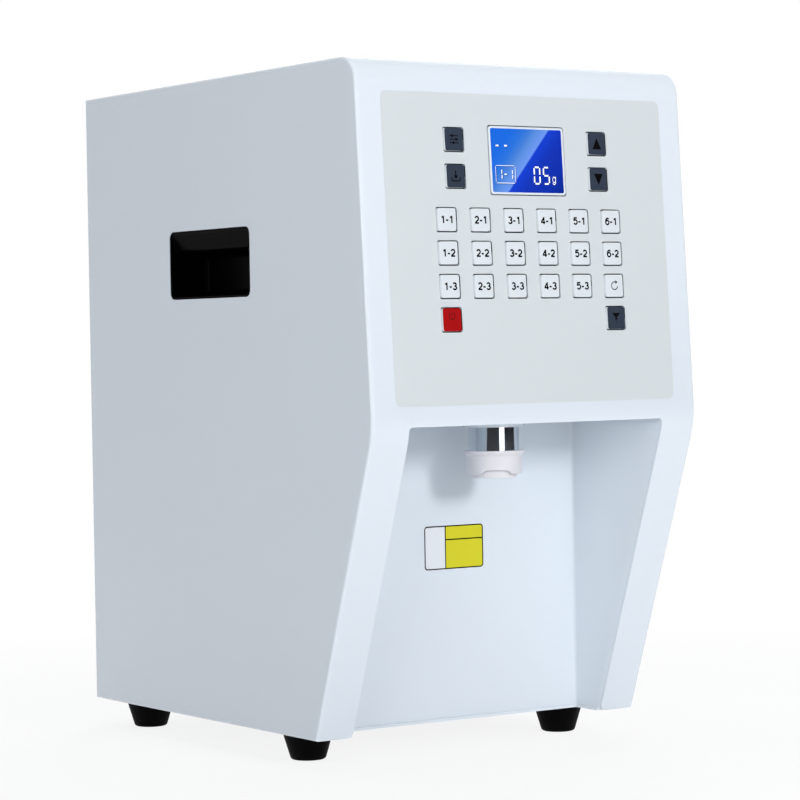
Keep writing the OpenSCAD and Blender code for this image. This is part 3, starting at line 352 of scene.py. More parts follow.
class Front:
    """The cabinet's front seen from the side, by arc length t from the seam on the top, down to the bottom.

    The outward normal's angle runs linearly in t round the two arcs and stays still along the flats, and
    a point is arc centre + radius * normal + what is left over * tangent.
    """

    def __init__(self, cabinet):
        low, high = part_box("left_side_panel")
        self.half_w, self.z_base, self.z_top, self.y_back = -low.x, low.z, high.z, high.y
        self.nose_r, self.top_r, lean = cabinet.nose_r, cabinet.top_r, cabinet.face_lean
        self.nose = np.array([cabinet.nose_r - high.y, cabinet.nose_z])
        self.up = np.array([np.sin(lean), np.cos(lean)])
        self.out = np.array([-np.cos(lean), np.sin(lean)])
        top_z = high.z - cabinet.top_r
        step = self.nose_r - self.top_r - self.out[1] * (top_z - self.nose[1])
        self.top = np.array([self.nose[0] + step / self.out[0], top_z])
        self.foot = self.nose + self.nose_r * self.out
        self.face_len = float((self.top - self.nose) @ self.up)
        turns = np.array([np.pi / 2, np.pi - lean, np.pi + cabinet.under_lean])
        self.turns = turns[[0, 0, 1, 1, 2, 2]]
        under = (self.nose[1] + self.nose_r * np.sin(turns[2]) - self.z_base) / np.cos(cabinet.under_lean)
        runs = [cabinet.top_lap, self.top_r * (turns[1] - turns[0]), self.face_len,
                self.nose_r * (turns[2] - turns[1]), under]
        self.knots = np.concatenate([[0], np.cumsum(runs)])
        self.seam_y = self.top[0] + cabinet.top_lap

    def at(self, t):
        """Points (y, z) and outward normals (y, z) at arc lengths t."""
        t = np.asarray(t, float)[..., None]
        _, t1, t2, t3, t4, _ = self.knots
        turn = np.interp(t, self.knots, self.turns)
        normal = np.concatenate([np.cos(turn), np.sin(turn)], -1)
        tangent = np.concatenate([-np.sin(turn), np.cos(turn)], -1)
        upper = self.top + self.top_r * normal + np.minimum(t - t1, 0) * tangent
        lower = self.nose + self.nose_r * normal + (np.minimum(t - t3, 0) + np.maximum(t - t4, 0)) * tangent
        return np.where(t < t2, upper, lower), normal

    def samples(self):
        """Arc lengths that follow both arcs closely."""
        t = self.knots
        return np.unique(np.concatenate([t, np.linspace(t[1], t[2], 25), np.linspace(t[3], t[4], 15)]))

    def at_height(self, z):
        """Arc length at height z on the nose or below it."""
        t = np.linspace(self.knots[3], self.knots[5], 400)
        return np.interp(z, self.at(t)[0][::-1, 1], t[::-1])

    def on_face(self, x, s, out):
        """World points at x, s up the keypad face from its lower end, and out from it, as whole arrays."""
        x, s, out = np.broadcast_arrays(x, s, out)
        y = self.foot[0] + s * self.up[0] + out * self.out[0]
        z = self.foot[1] + s * self.up[1] + out * self.out[1]
        return np.stack([x, y, z], -1)

    def face_box(self, node):
        """Lowest and highest (x, s, out) of a CAD node, measured on the keypad face."""
        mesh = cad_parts[node].data
        flat = np.empty(len(mesh.vertices) * 3, np.float32)
        mesh.vertices.foreach_get("co", flat)
        p = flat.reshape(-1, 3).astype(float)
        s, out = ((p[:, 1:] - self.foot) @ axis for axis in (self.up, self.out))
        local = np.stack([p[:, 0], s, out], -1)
        return local.min(0), local.max(0)


def key_names():
    """Names of the key nodes."""
    return sorted(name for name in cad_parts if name.startswith("key_"))


def face_holes(front, keypad):
    """Holes in the keypad face for the keys and the display, as (x0, x1, s0, s1, radius)."""
    holes = []
    for name in key_names():
        low, high = front.face_box(name)
        x, s = (low[:2] + high[:2]) / 2
        x -= keypad.cap_left
        foot = (keypad.cap + keypad.cap_draft) / 2
        left, right = foot + keypad.gap_left, foot + keypad.gap_right
        half = keypad.cap / 2 + keypad.cap_gap
        holes.append((x - left, x + right, s - half, s + half, keypad.cap_r))
    low, high = front.face_box("display_window")
    x, s = (low[:2] + high[:2]) / 2
    w, h = keypad.rim_w / 2 + keypad.rim_gap, keypad.rim_h / 2 + keypad.rim_gap
    corner = mm(2)
    holes.append((x - w, x + w, s - h, s + h, corner))
    return holes


# Print: flat shapes in the plane, as points and faces

def strokes(*lines):
    """Straight strokes, each (x0, y0, x1, y1, width): a line widened by half its width to either side."""
    a = np.array(lines, float)
    along = a[:, 2:4] - a[:, 0:2]
    side = np.stack([-along[:, 1], along[:, 0]], -1) / np.linalg.norm(along, axis=1, keepdims=True)
    side = side * a[:, 4:] / 2
    corners = np.stack([a[:, 0:2] - side, a[:, 2:4] - side, a[:, 2:4] + side, a[:, 0:2] + side], 1)
    return corners.reshape(-1, 2), [np.arange(4 * len(a)).reshape(-1, 4)]


def bow(radius, width, first, last, steps=28):
    """A band along an arc about the origin, between two angles in degrees."""
    turn = np.radians(np.linspace(first, last, steps))
    ray = np.stack([np.cos(turn), np.sin(turn)], -1)
    return np.concatenate([ray * (radius + width / 2), ray * (radius - width / 2)]), [quads(2, steps)]


def facet(*corners):
    """One flat polygon, given anticlockwise."""
    return np.array(corners, float), [np.arange(len(corners))[None]]


def sweep(x, y, across, up, first, last, steps=24):
    """Points along an ellipse about x, y between two angles in degrees."""
    turn = np.radians(np.linspace(first, last, steps))
    return np.stack([x + across * np.cos(turn), y + up * np.sin(turn)], -1)


def pen(path, width):
    """A stroke of constant width along a path: each point moved to either side along its mitred normal."""
    path = np.asarray(path, float)
    step = np.diff(path, axis=0)
    step /= np.linalg.norm(step, axis=1, keepdims=True)
    normal = np.stack([-step[:, 1], step[:, 0]], -1)
    before, after = np.concatenate([normal[:1], normal]), np.concatenate([normal, normal[-1:]])
    side = (before + after) / (1 + (before * after).sum(1, keepdims=True)) * width / 2
    return np.concatenate([path - side, path + side]), [quads(2, len(path))]


# Figures one unit high, as the paths of a pen, and how far each moves the next one on
FIGURES = {
    "1": [[(0.08, -0.5), (0.08, 0.5)], [(0.05, 0.45), (-0.04, 0.34), (-0.2, 0.25)]],
    "2": [np.concatenate([sweep(0, 0.17, 0.265, 0.27, 165, -35), [(-0.28, -0.41)]]),
          [(-0.33, -0.4375), (0.33, -0.4375)]],
    "3": [sweep(-0.01, 0.22, 0.24, 0.2175, 155, -95), sweep(-0.01, -0.2, 0.28, 0.2375, 95, -160)],
    "4": [[(0.14, -0.5), (0.14, 0.5)], [(0.13, 0.44), (-0.31, -0.21)], [(-0.37, -0.24), (0.36, -0.24)]],
    "5": [[(0.28, 0.4375), (-0.19, 0.4375), (-0.26, 0.0)], sweep(-0.01, -0.135, 0.29, 0.3025, 152, -155)],
    "6": [sweep(0.01, -0.15, 0.275, 0.2875, 0, 360, 40), sweep(0.05, -0.05, 0.32, 0.4875, 48, 195)],
    "-": [[(-0.19, -0.1), (0.19, -0.1)]],
    "g": [sweep(-0.02, 0.06, 0.27, 0.3, 0, 360, 32), [(0.27, 0.4), (0.27, -0.2)],
          sweep(-0.01, -0.2, 0.28, 0.24, 0, -155)],
}
ADVANCE = {"-": 0.5, "g": 0.7}
DIGIT_ADVANCE = 0.87


def figures(text, width=0.225):
    """A short number as pen strokes one unit high, centred on the origin: a list of flat shapes."""
    steps = np.array([ADVANCE.get(sign, DIGIT_ADVANCE) for sign in text])
    places = np.cumsum(steps) - steps / 2 - steps.sum() / 2
    return [pen(np.asarray(path) + (x, 0), width) for sign, x in zip(text, places) for path in FIGURES[sign]]


SEGMENTS = {"a": (0, 1, 1, 1), "b": (1, 1, 1, 0.5), "c": (1, 0.5, 1, 0), "d": (0, 0, 1, 0),
            "e": (0, 0.5, 0, 0), "f": (0, 1, 0, 0.5), "g": (0, 0.5, 1, 0.5)}


def digit(lit, x, y, width, height, stroke):
    """A seven-segment figure with its lower left corner at x, y: each lit segment is a shortened stroke."""
    lines = np.array([SEGMENTS[name] for name in lit]) * (width, height, width, height)
    along = np.sign(lines[:, 2:] - lines[:, :2]) * stroke * 0.62
    lines = np.concatenate([lines[:, :2] + along, lines[:, 2:] - along], 1) + (x, y, x, y)
    return strokes(*np.column_stack([lines, np.full(len(lines), stroke)]))


def key_sign(name):
    """The sign on a key without a number: plain shapes in a box one unit high."""
    return {
        "key_up": [facet((-0.52, -0.52), (0.52, -0.52), (0, 0.54))],
        "key_down": [facet((-0.52, 0.52), (0, -0.54), (0.52, 0.52))],
        "key_power": [bow(0.4, 0.11, 125, 415), strokes((0, 0.08, 0, 0.5, 0.11))],
        "key_set": [strokes((-0.5, 0.32, 0.5, 0.32, 0.08), (-0.5, 0, 0.5, 0, 0.08),
                            (-0.5, -0.32, 0.5, -0.32, 0.08), (-0.2, 0.19, -0.2, 0.45, 0.16),
                            (0.24, -0.13, 0.24, 0.13, 0.16), (-0.06, -0.45, -0.06, -0.19, 0.16))],
        "key_save": [strokes((-0.45, -0.1, -0.45, -0.45, 0.1), (-0.4, -0.45, 0.4, -0.45, 0.1),
                             (0.45, -0.45, 0.45, -0.1, 0.1), (0, 0.5, 0, 0.05, 0.12)),
                     facet((-0.24, 0.05), (0, -0.26), (0.24, 0.05))],
        "key_clear": [bow(0.36, 0.09, 70, 350), facet((0.12, 0.16), (0.36, 0.34), (0.12, 0.54))],
        "key_feed": [facet((-0.48, 0.46), (-0.12, 0.06), (0.12, 0.06), (0.48, 0.46)),
                     strokes((0, 0.02, 0, -0.18, 0.24), (0, -0.27, 0, -0.34, 0.1), (0, -0.43, 0, -0.5, 0.1))],
    }[name]


# Finishes

def add(tree, kind, inputs=(), **settings):
    """Adds a node with its settings; each input, by name or number, is linked to a socket or set."""
    node = tree.nodes.new("ShaderNode" + kind)
    for name, value in settings.items():
        setattr(node, name, value)
    for name, value in dict(inputs).items():
        if isinstance(value, bpy.types.NodeSocket):
            tree.links.new(value, node.inputs[name])
        else:
            node.inputs[name].default_value = value
    return node


def blank(blocks, name):
    """A new material or world of that name with an empty node tree."""
    made = blocks.new(name)
    made.use_nodes = True
    made.node_tree.nodes.clear()
    return made


def shade(rgb, share):
    """A colour made darker or lighter by a share, with its alpha."""
    return (*(min(1.0, c * share) for c in rgb), 1.0)


def surface(name, rgb, blotch, depth, grain, relief, rough, stretch=(1, 1, 1), **shader):
    """A material with two noises on Object coordinates, sized in millimetres.

    The broad one, of size blotch, darkens the colour by up to depth and moves the roughness between the
    two values of rough. The fine one, of size grain, lifts the surface by relief.
    """
    made = blank(bpy.data.materials, name)
    tree = made.node_tree
    place = add(tree, "TexCoord").outputs["Object"]
    broad = add(tree, "TexNoise", {"Vector": place, "Scale": 1 / mm(blotch), "Detail": 3.0}).outputs[0]
    drawn = add(tree, "Mapping", {"Vector": place, "Scale": stretch}).outputs[0]
    fine = add(tree, "TexNoise", {"Vector": drawn, "Scale": 1 / mm(grain), "Detail": 2.0}).outputs[0]
    tint = add(tree, "Mix", {0: broad, 6: shade(rgb, 1 - depth), 7: shade(rgb, 1 + depth)}, data_type="RGBA")
    gloss = add(tree, "MapRange", {"Value": broad, "From Min": 0.3, "From Max": 0.7,
                                   "To Min": rough[0], "To Max": rough[1]})
    bump = add(tree, "Bump", {"Height": fine, "Distance": mm(relief), "Strength": 1.0})
    inputs = {key.replace("_", " ").title(): value for key, value in shader.items()}
    inputs = {key.replace("Ior", "IOR"): value for key, value in inputs.items()}
    bsdf = add(tree, "BsdfPrincipled", {"Base Color": tint.outputs[2], "Roughness": gloss.outputs[0],
                                        "Normal": bump.outputs[0], **inputs})
    add(tree, "OutputMaterial", {"Surface": bsdf.outputs[0]})
    return made


def display_glass(name):
    """Backlit liquid crystal behind glass: two blues with a gradient each, which meet on a slanting line; the
    lighter blue, brightest at the line, is a painted glare, a painted reflection on the glass.
    """
    made = blank(bpy.data.materials, name)
    tree = made.node_tree
    low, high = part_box("display_window")
    centre = (low + high) / 2
    # A point of the edge of the painted glare, where the blues meet, the direction square to it, and the
    # ramp's reach either side
    glare_edge_point, square, reach = (centre.x + mm(1.1), 0, centre.z), (-0.762, 0, 0.647), mm(40)
    place = add(tree, "TexCoord").outputs["Object"]
    moved = add(tree, "VectorMath", {0: place, 1: glare_edge_point}, operation="SUBTRACT")
    across = add(tree, "VectorMath", {0: moved.outputs[0], 1: square}, operation="DOT_PRODUCT")
    share = add(tree, "MapRange", {"Value": across.outputs["Value"], "From Min": -reach, "From Max": reach})
    ramp = add(tree, "ValToRGB", {0: share.outputs[0]})
    # Below 0.5 the deep blue of the cell, from 0.5 up the lighter blues of the painted glare, brightest along
    # the line
    stops = [(0.0, "081E70"), (0.2, "0C2EA6"), (0.38, "1234B4"), (0.494, "133FCE"), (0.506, "6E98EC"),
             (0.58, "5C8EDC"), (0.63, "4680D7"), (0.68, "2E73D8"), (0.78, "1C6ADE")]
    elements = ramp.color_ramp.elements
    for _ in stops[2:]:
        elements.new(0.5)
    for element, (where, _) in zip(elements, stops):
        element.position = where
    for element, (_, hex_colour) in zip(elements, stops):
        element.color = (*linear(hex_colour), 1)
    bsdf = add(tree, "BsdfPrincipled", {"Base Color": ramp.outputs[0], "Roughness": 0.2,
                                        "Specular IOR Level": 0.05})
    add(tree, "OutputMaterial", {"Surface": bsdf.outputs[0]})
    return made


# How far red, green and blue light goes into a milky plastic, as shares of its scale
SINKS_IN = (1.0, 0.95, 0.9)


def noise_finishes(tint):
    """Every finish that surface makes, by name: its settings in order, and the rest by name."""
    return {
        # Stoved enamel on steel sheet: a hard gloss whose reflections waver with a faint orange peel
        "enamel": (tint.paint, 140, 0.012, 2.2, 0.004, (0.2, 0.27),
            dict(ior=1.5, coat_weight=0.35, coat_roughness=0.06)),
        # Polycarbonate film printed on its back: even grey, a fine satin emboss that spreads highlights
        "overlay_film": (tint.overlay, 60, 0.008, 0.9, 0.006, (0.36, 0.44), dict(ior=1.58)),
        # Moulded ABS, smooth tool finish: soft-edged gloss
        "rim_abs": (tint.rim, 30, 0.01, 0.8, 0.003, (0.26, 0.34), dict(ior=1.53)),
        # Clear segments of a negative display: backlight shines through, a little uneven
        "segment_glow": (tint.glow, 6, 0.03, 0.8, 0.002, (0.3, 0.4),
            dict(ior=1.5, emission_color=(*tint.glow, 1), emission_strength=0.35)),
        # Shadow of a lit segment on the reflector behind the cell: a deep blue beside each stroke
        "segment_shadow": (linear("0B1B5C"), 6, 0.1, 0.8, 0.002, (0.3, 0.4), dict(specular_ior_level=0.1)),
        # Moulded ABS caps: bright, smooth, with a fine spark-eroded grain drawn coarser than it is
        "key_abs": (tint.key, 18, 0.01, 0.7, 0.006, (0.3, 0.38), dict(ior=1.53)),
        # Printed and lacquered cap top: dark slate with a satin lacquer
        "key_film_slate": (tint.slate, 8, 0.05, 0.7, 0.006, (0.34, 0.44), dict(specular_ior_level=0.15)),
        # Printed and lacquered cap top: signal red with a satin lacquer
        "key_film_red": (tint.red, 8, 0.05, 0.7, 0.006, (0.34, 0.44), dict(specular_ior_level=0.1)),
        # Pad-printed ink: matt against the cap's gloss
        "print_black": (tint.ink, 4, 0.1, 0.6, 0.003, (0.45, 0.55), dict(specular_ior_level=0.03)),
        # Pad-printed ink in a darker red than the cap
        "print_red": (tint.red_ink, 4, 0.1, 0.6, 0.003, (0.45, 0.55), dict(specular_ior_level=0.1)),
        # Black ABS from a fine-textured mould: deep black, a soft weak sheen and a trace of flow ripple
        "gloss_abs": (tint.black, 40, 0.2, 5, 0.008, (0.26, 0.34), dict(specular_ior_level=0.012)),
        # EPDM rubber: near black, dry sheen, a moulded grain
        "foot_rubber": (tint.rubber, 12, 0.15, 0.8, 0.03, (0.5, 0.62), dict(specular_ior_level=0.04)),
        # Mirror-polished stainless tube: clear reflections, faint polishing lines round it
        "polished_stainless": (tint.steel, 20, 0.03, 0.5, 0.0015, (0.08, 0.13),
            dict(stretch=(0.05, 0.05, 1), metallic=1.0)),
        # Moulded natural polyamide: warm white, a little light goes into it, soft gloss
        "nozzle_polyamide": (tint.nozzle, 14, 0.015, 0.8, 0.006, (0.32, 0.4),
            dict(ior=1.53, subsurface_weight=0.08, subsurface_radius=SINKS_IN, subsurface_scale=mm(1.5))),
        # Vinyl label, white field: smooth, faintly wavy where it sticks to the wall
        "label_vinyl": (linear("EDEFF2"), 12, 0.01, 3, 0.01, (0.28, 0.36), dict(ior=1.5)),
        # Screen-printed field of the label: strong even yellow
        "label_colour": (tint.label, 9, 0.03, 3, 0.01, (0.28, 0.36), dict(ior=1.5)),
        # Zinc-plated steel: grey metal with a cloudy spangle
        "zinc_steel": (linear("B4B9BE"), 5, 0.12, 0.9, 0.006, (0.26, 0.42), dict(metallic=1.0)),
        # Solder-masked glass laminate: green, glossy, with a trace of weave
        "board_laminate": (linear("14532D"), 10, 0.12, 0.8, 0.008, (0.25, 0.36), dict(ior=1.55)),
        # Black glass-filled polyamide: matt with fine specks
        "switch_polyamide": (linear("17181A"), 3, 0.2, 0.8, 0.012, (0.42, 0.55), dict(ior=1.53)),
        # Moulded polypropylene for food: milky white, waxy gloss
        "hopper_polypropylene": (linear("E9E9E4"), 50, 0.02, 1.2, 0.012, (0.36, 0.46),
            dict(ior=1.49, subsurface_weight=0.1, subsurface_radius=SINKS_IN, subsurface_scale=mm(3))),
        # Milled acetal: off-white, waxy, with fine cutter marks
        "gear_acetal": (linear("E4E2D8"), 10, 0.03, 0.9, 0.01, (0.34, 0.44), dict(ior=1.48)),
        # Sintered bronze: dull gold metal, open pores
        "bush_bronze": (linear("B08A4E"), 3, 0.15, 0.8, 0.02, (0.35, 0.5), dict(metallic=1.0)),
        # Bright-plated motor can: grey metal, drawn lines along its axis
        "motor_steel": (linear("9DA2A8"), 12, 0.08, 0.6, 0.004, (0.24, 0.36),
            dict(stretch=(1, 0.05, 1), metallic=1.0)),
        # Bent aluminium cover: pale grey metal, brushed along its length
        "supply_aluminium": (linear("C4C7CA"), 25, 0.06, 0.6, 0.004, (0.28, 0.4),
            dict(stretch=(0.05, 1, 1), metallic=1.0)),
    }


def finish(name):
    """The material of that name, made when it is first asked for."""
    made = bpy.data.materials.get(name)
    if made:
        return made
    if name == "display_glass":
        return display_glass(name)
    *settings, others = noise_finishes(bpy.context.scene.dispenser_colours)[name]
    return surface(name, *settings, **others)


NODE_FINISH = {
    "painted_steel": "enamel", "zinc_steel": "zinc_steel", "rubber_foot": "foot_rubber",
    "gloss_black": "gloss_abs", "overlay_grey": "overlay_film", "rim_white": "rim_abs",
    "display_blue": "display_glass", "board_green": "board_laminate", "switch_black": "switch_polyamide",
    "hopper_white": "hopper_polypropylene", "gear_acetal": "gear_acetal", "bush_bronze": "bush_bronze",
    "motor_metal": "motor_steel", "supply_case": "supply_aluminium", "polished_steel": "polished_stainless",
    "nozzle_white": "nozzle_polyamide", "key_white": "key_abs", "key_slate": "key_film_slate",
    "key_red": "key_film_red",
}


# Cards that only reflections see: bearings in degrees, heights of fading, glow and lowest height in metres
CARDS = {
    "stage_card_left": ((-80, -9), (0.3, 0.7), 0.0, 0.002),
    "stage_card_right": ((13, 80), (0.3, 0.7), 0.0, 0.002),
    "stage_card_bright": ((-9, 13), (0.3, 0.7), 3.0, 0.002),
    "stage_card_keys": ((-125, -85), (0.9, 1.1), 5.0, 0.002),
    "stage_card_top": ((122, 158), (2.2, 2.6), 1.35, 0.75),
}
CARD_REACH = 2.3
# Soft lamps: place and width in metres, power in watts. All face LAMP_AIM.
LAMPS = {
    "key_lamp": ((0.0, -2.8, 0.98), 0.5, 29.7),
    "left_lamp": ((-1.7, -2.4, 1.7), 1.4, 4.3),
    "side_lamp": ((-2.4, -1.4, 0.5), 1.4, 20.6),
    "low_lamp": ((-0.8, -2.8, 0.35), 1.0, 7.7),
    "top_lamp": ((0.0, 0.1, 2.8), 1.6, 27.3),
    "back_lamp": ((2.0, 2.0, 1.6), 1.6, 45.0),
}
LAMP_AIM = (0, -0.1, 0.25)


def placed(origin, *axes):
    """The matrix of an object that stands at origin with the given X, Y and Z axes."""
    turn = np.eye(4)
    turn[:3, :3] = np.stack(axes, -1)
    turn[:3, 3] = origin
    return Matrix(turn.tolist())


# Operators

class DISPENSER_OT_camera(bpy.types.Operator):
    """Adds the camera at the photograph's point of view"""
    bl_idname = "dispenser.camera"
    bl_label = "Camera"

    def execute(self, context):
        place = context.scene.dispenser_camera
        a, p, r = place.azimuth, place.pitch, place.roll
        ahead = np.array([-np.sin(a) * np.cos(p), np.cos(a) * np.cos(p), np.sin(p)])
        right = np.cross(ahead, [0, 0, 1])
        right /= np.linalg.norm(right)
        up = np.cross(right, ahead)
        lens = bpy.data.cameras.new("camera")
        lens.lens = place.lens
        lens.sensor_width = 36
        lens.clip_start, lens.clip_end = 0.05, 50
        camera = bpy.data.objects.new("camera", lens)
        camera.matrix_world = placed((place.x, place.y, place.z), np.cos(r) * right + np.sin(r) * up,
                                     np.cos(r) * up - np.sin(r) * right, -ahead)
        context.scene.collection.objects.link(camera)
        context.scene.camera = camera
        return {"FINISHED"}


class DISPENSER_OT_stage(bpy.types.Operator):
    """Adds the pale floor, the soft lamps and the white surroundings"""
    bl_idname = "dispenser.stage"
    bl_label = "Stage"

    def execute(self, context):
        scene = context.scene
        scene.view_settings.view_transform = "Standard"
        scene.world = blank(bpy.data.worlds, "white surroundings")
        tree = scene.world.node_tree
        seen = self.seen(tree)
        # White where it is seen; for the light it gives, dimmer and a little blue
        strength = add(tree, "MapRange", {"Value": seen, "To Min": 0.12, "To Max": 1.0})
        sky = add(tree, "Mix", {0: seen, 6: (0.8, 1.0, 1.25, 1), 7: (1, 1, 1, 1)}, data_type="RGBA")
        light = add(tree, "Background", {"Color": sky.outputs[2], "Strength": strength.outputs[0]})
        add(tree, "OutputWorld", {"Surface": light.outputs[0]})

        paper = blank(bpy.data.materials, "stage_paper")
        tree = paper.node_tree
        matt = add(tree, "BsdfDiffuse", {"Color": (0.9, 0.9, 0.9, 1)})
        glow = add(tree, "Emission", {"Color": (1, 1, 1, 1), "Strength": 1.0})
        # The paper shows the shadow near the object and fades to plain white away from it
        away = add(tree, "VectorMath", {0: add(tree, "TexCoord").outputs["Object"]}, operation="LENGTH")
        plain = add(tree, "MapRange", {"Value": away.outputs["Value"], "From Min": 0.25, "From Max": 0.9,
                                       "To Min": 0.86, "To Max": 1.0}, interpolation_type="SMOOTHSTEP")
        share = add(tree, "Math", {0: self.seen(tree), 1: plain.outputs[0]}, operation="MULTIPLY")
        mixed = add(tree, "MixShader", {0: share.outputs[0], 1: matt.outputs[0], 2: glow.outputs[0]})
        add(tree, "OutputMaterial", {"Surface": mixed.outputs[0]})
        reach = np.linspace(-8, 8, 9)
        points = np.stack(np.meshgrid(reach, reach, [0.0]), -1).reshape(-1, 3)
        mesh = bpy.data.meshes.new("stage_floor")
        mesh.from_pydata(points.tolist(), [], quads(9, 9).tolist())
        mesh.materials.append(paper)
        floor = bpy.data.objects.new("stage_floor", mesh)
        scene.collection.objects.link(floor)
        for name, settings in CARDS.items():
            self.card(scene, name, *settings)
        for name, settings in LAMPS.items():
            self.lamp(scene, name, *settings)
        return {"FINISHED"}

    def seen(self, tree):
        """1 where the ray comes from the camera, a reflection or through glass, and 0 for light."""
        path = add(tree, "LightPath").outputs
        either = add(tree, "Math", {0: path["Is Camera Ray"], 1: path["Is Glossy Ray"]}, operation="MAXIMUM")
        return add(tree, "Math", {0: either.outputs[0], 1: path["Is Transmission Ray"]},
                   operation="MAXIMUM").outputs[0]

    def card(self, scene, name, bearings, fade, glow, low):
        """A card that only reflections see, dark or glowing, bent round the outlet between two bearings.

        Its points are CARD_REACH * (sin, -cos) of the bearing from straight ahead of the outlet, by height,
        and it fades away between the two heights of fade.
        """
        look = blank(bpy.data.materials, name)
        tree = look.node_tree
        height = add(tree, "SeparateXYZ", {0: add(tree, "TexCoord").outputs["Object"]}).outputs["Z"]
        gone = add(tree, "MapRange", {"Value": height, "From Min": fade[0], "From Max": fade[1]},
                   interpolation_type="SMOOTHSTEP")
        if glow:
            face = add(tree, "Emission", {"Strength": glow})
        else:
            face = add(tree, "BsdfDiffuse", {"Color": (0.03, 0.03, 0.035, 1)})
        clear = add(tree, "BsdfTransparent")
        mixed = add(tree, "MixShader", {0: gone.outputs[0], 1: face.outputs[0], 2: clear.outputs[0]})
        add(tree, "OutputMaterial", {"Surface": mixed.outputs[0]})
        near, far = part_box("outlet_tube")
        axis_y = (near.y + far.y) / 2
        turn = np.radians(np.linspace(*bearings, 25))
        rise = np.linspace(low, fade[1] + 0.02, 5)[:, None]
        points = np.stack(np.broadcast_arrays(CARD_REACH * np.sin(turn), axis_y - CARD_REACH * np.cos(turn),
                                              rise), -1)
        mesh = bpy.data.meshes.new(name)
        mesh.from_pydata(points.reshape(-1, 3).tolist(), [], quads(5, 25).tolist())
        mesh.materials.append(look)
        card = bpy.data.objects.new(name, mesh)
        for kind in ("camera", "diffuse", "transmission", "volume_scatter", "shadow"):
            setattr(card, "visible_" + kind, False)
        scene.collection.objects.link(card)

    def lamp(self, scene, name, place, size, power):
        """A square soft lamp that faces LAMP_AIM."""
        light = bpy.data.lights.new(name, "AREA")
        light.size = size
        light.energy = power
        away = np.array(place, float) - LAMP_AIM
        away /= np.linalg.norm(away)
        side = np.cross([0, 1, 0.1], away)
        side /= np.linalg.norm(side)
        lamp = bpy.data.objects.new(name, light)
        lamp.matrix_world = placed(place, side, np.cross(away, side), away)
        lamp.visible_glossy = False
        scene.collection.objects.link(lamp)


class DISPENSER_OT_finishes(bpy.types.Operator):
    """Gives the carried-over solids their finishes"""
    bl_idname = "dispenser.finishes"
    bl_label = "Finishes"

    def execute(self, context):
        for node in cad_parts.values():
            for place in node.material_slots:
                if place.material.name in NODE_FINISH:
                    place.material = finish(NODE_FINISH[place.material.name])
        return {"FINISHED"}


class DISPENSER_OT_side_panels(bpy.types.Operator):
    """Adds the two side panels: flat sheets with a rolled edge all round and a cut for the handle"""
    bl_idname = "dispenser.side_panels"
    bl_label = "Side panels"

    def execute(self, context):
        cabinet, grip = context.scene.dispenser_cabinet, context.scene.dispenser_handles
        front = Front(cabinet)
        edge = np.concatenate([front.at(front.samples())[0],
                               [[front.y_back, front.z_base], [front.y_back, front.z_top]]])
        low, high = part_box("left_handle")
        centre = np.array([(low.y + high.y) / 2, (low.z + high.z) / 2])
        cut = rounded(grip.width, grip.height, grip.corner) + centre
        # Both outlines get the same points: every angle about the handle at which either has one
        seen = [np.arctan2(*(line - centre).T[::-1]) for line in (edge, cut)]
        both = np.unique(np.round(np.concatenate(seen), 9))
        edge, cut = (np.stack([np.interp(both, a, line[:, k], period=2 * np.pi) for k in (0, 1)], -1)
                     for a, line in zip(seen, (edge, cut)))
        out = mitre(edge)
        roll = np.linspace(0, np.pi / 2, 8)
        r = cabinet.edge_r
        inset = np.concatenate([[r + mm(3)], r * (1 - np.sin(roll))])[:, None, None]
        depth = np.concatenate([[0, 0], r * (1 - np.cos(roll))])
        lines = np.concatenate([cut[None], edge - inset * out])
        for side, body_side in ((-1, "left"), (1, "right")):
            x = np.broadcast_to((side * (front.half_w - depth))[:, None, None], lines.shape[:2] + (1,))
            points, faces = skin(np.concatenate([x, lines], -1))
            faces = faces if side < 0 else flipped(faces)
            panel = make_piece(f"{body_side}_side_sheet", [(points, faces, "enamel")], "cabinet",
                               (f"{body_side}_side_panel",))
            thicken(panel, cabinet.sheet, edge=mm(0.3))
        return {"FINISHED"}


class DISPENSER_OT_front_sheet(bpy.types.Operator):
    """Adds the front sheet: one sheet from the top lap over keypad face and nose to the two flanges"""
    bl_idname = "dispenser.front_sheet"
    bl_label = "Front sheet"

    def execute(self, context):
        cabinet, keypad = context.scene.dispenser_cabinet, context.scene.dispenser_keypad
        front = Front(cabinet)
        half, bottom = front.half_w - cabinet.edge_r, front.knots[5]
        mouth = front.at_height(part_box("bay_liner")[1].z)
        bay = cabinet.bay_w / 2
        holes = [(x0, x1, front.knots[3] - s1, front.knots[3] - s0, r)
                 for x0, x1, s0, s1, r in face_holes(front, keypad)]
        r = cabinet.mouth_r
        # The bay's mouth is a hole that runs past the lower edge, with only its upper corners rounded
        holes.append((-bay, bay, mouth, bottom + mm(50), 0))
        inner = [(side * bay, mouth, r, side, -1) for side in (-1, 1)]
        flange = [(side * bay, bottom, cabinet.flange_r, -side, 1) for side in (-1, 1)]
        xs, ts = hole_lines(holes, flange)
        ts = ts[ts <= bottom + mm(1)]
        lines = [xs, [-half, half, r - bay, bay - r]], [ts, front.samples(), [mouth + r],
                                                        np.linspace(front.knots[4], bottom, 12)]
        flat, faces = pierced(*lines, holes, flange, inner)
        place, _ = front.at(flat[:, 1])
        points = np.concatenate([flat[:, :1], place], -1)
        sheet = make_piece("front_sheet", [(points, flipped(faces), "enamel")], "cabinet",
                           ("front_fascia",))
        thicken(sheet, cabinet.sheet, edge=mm(0.35))
        return {"FINISHED"}


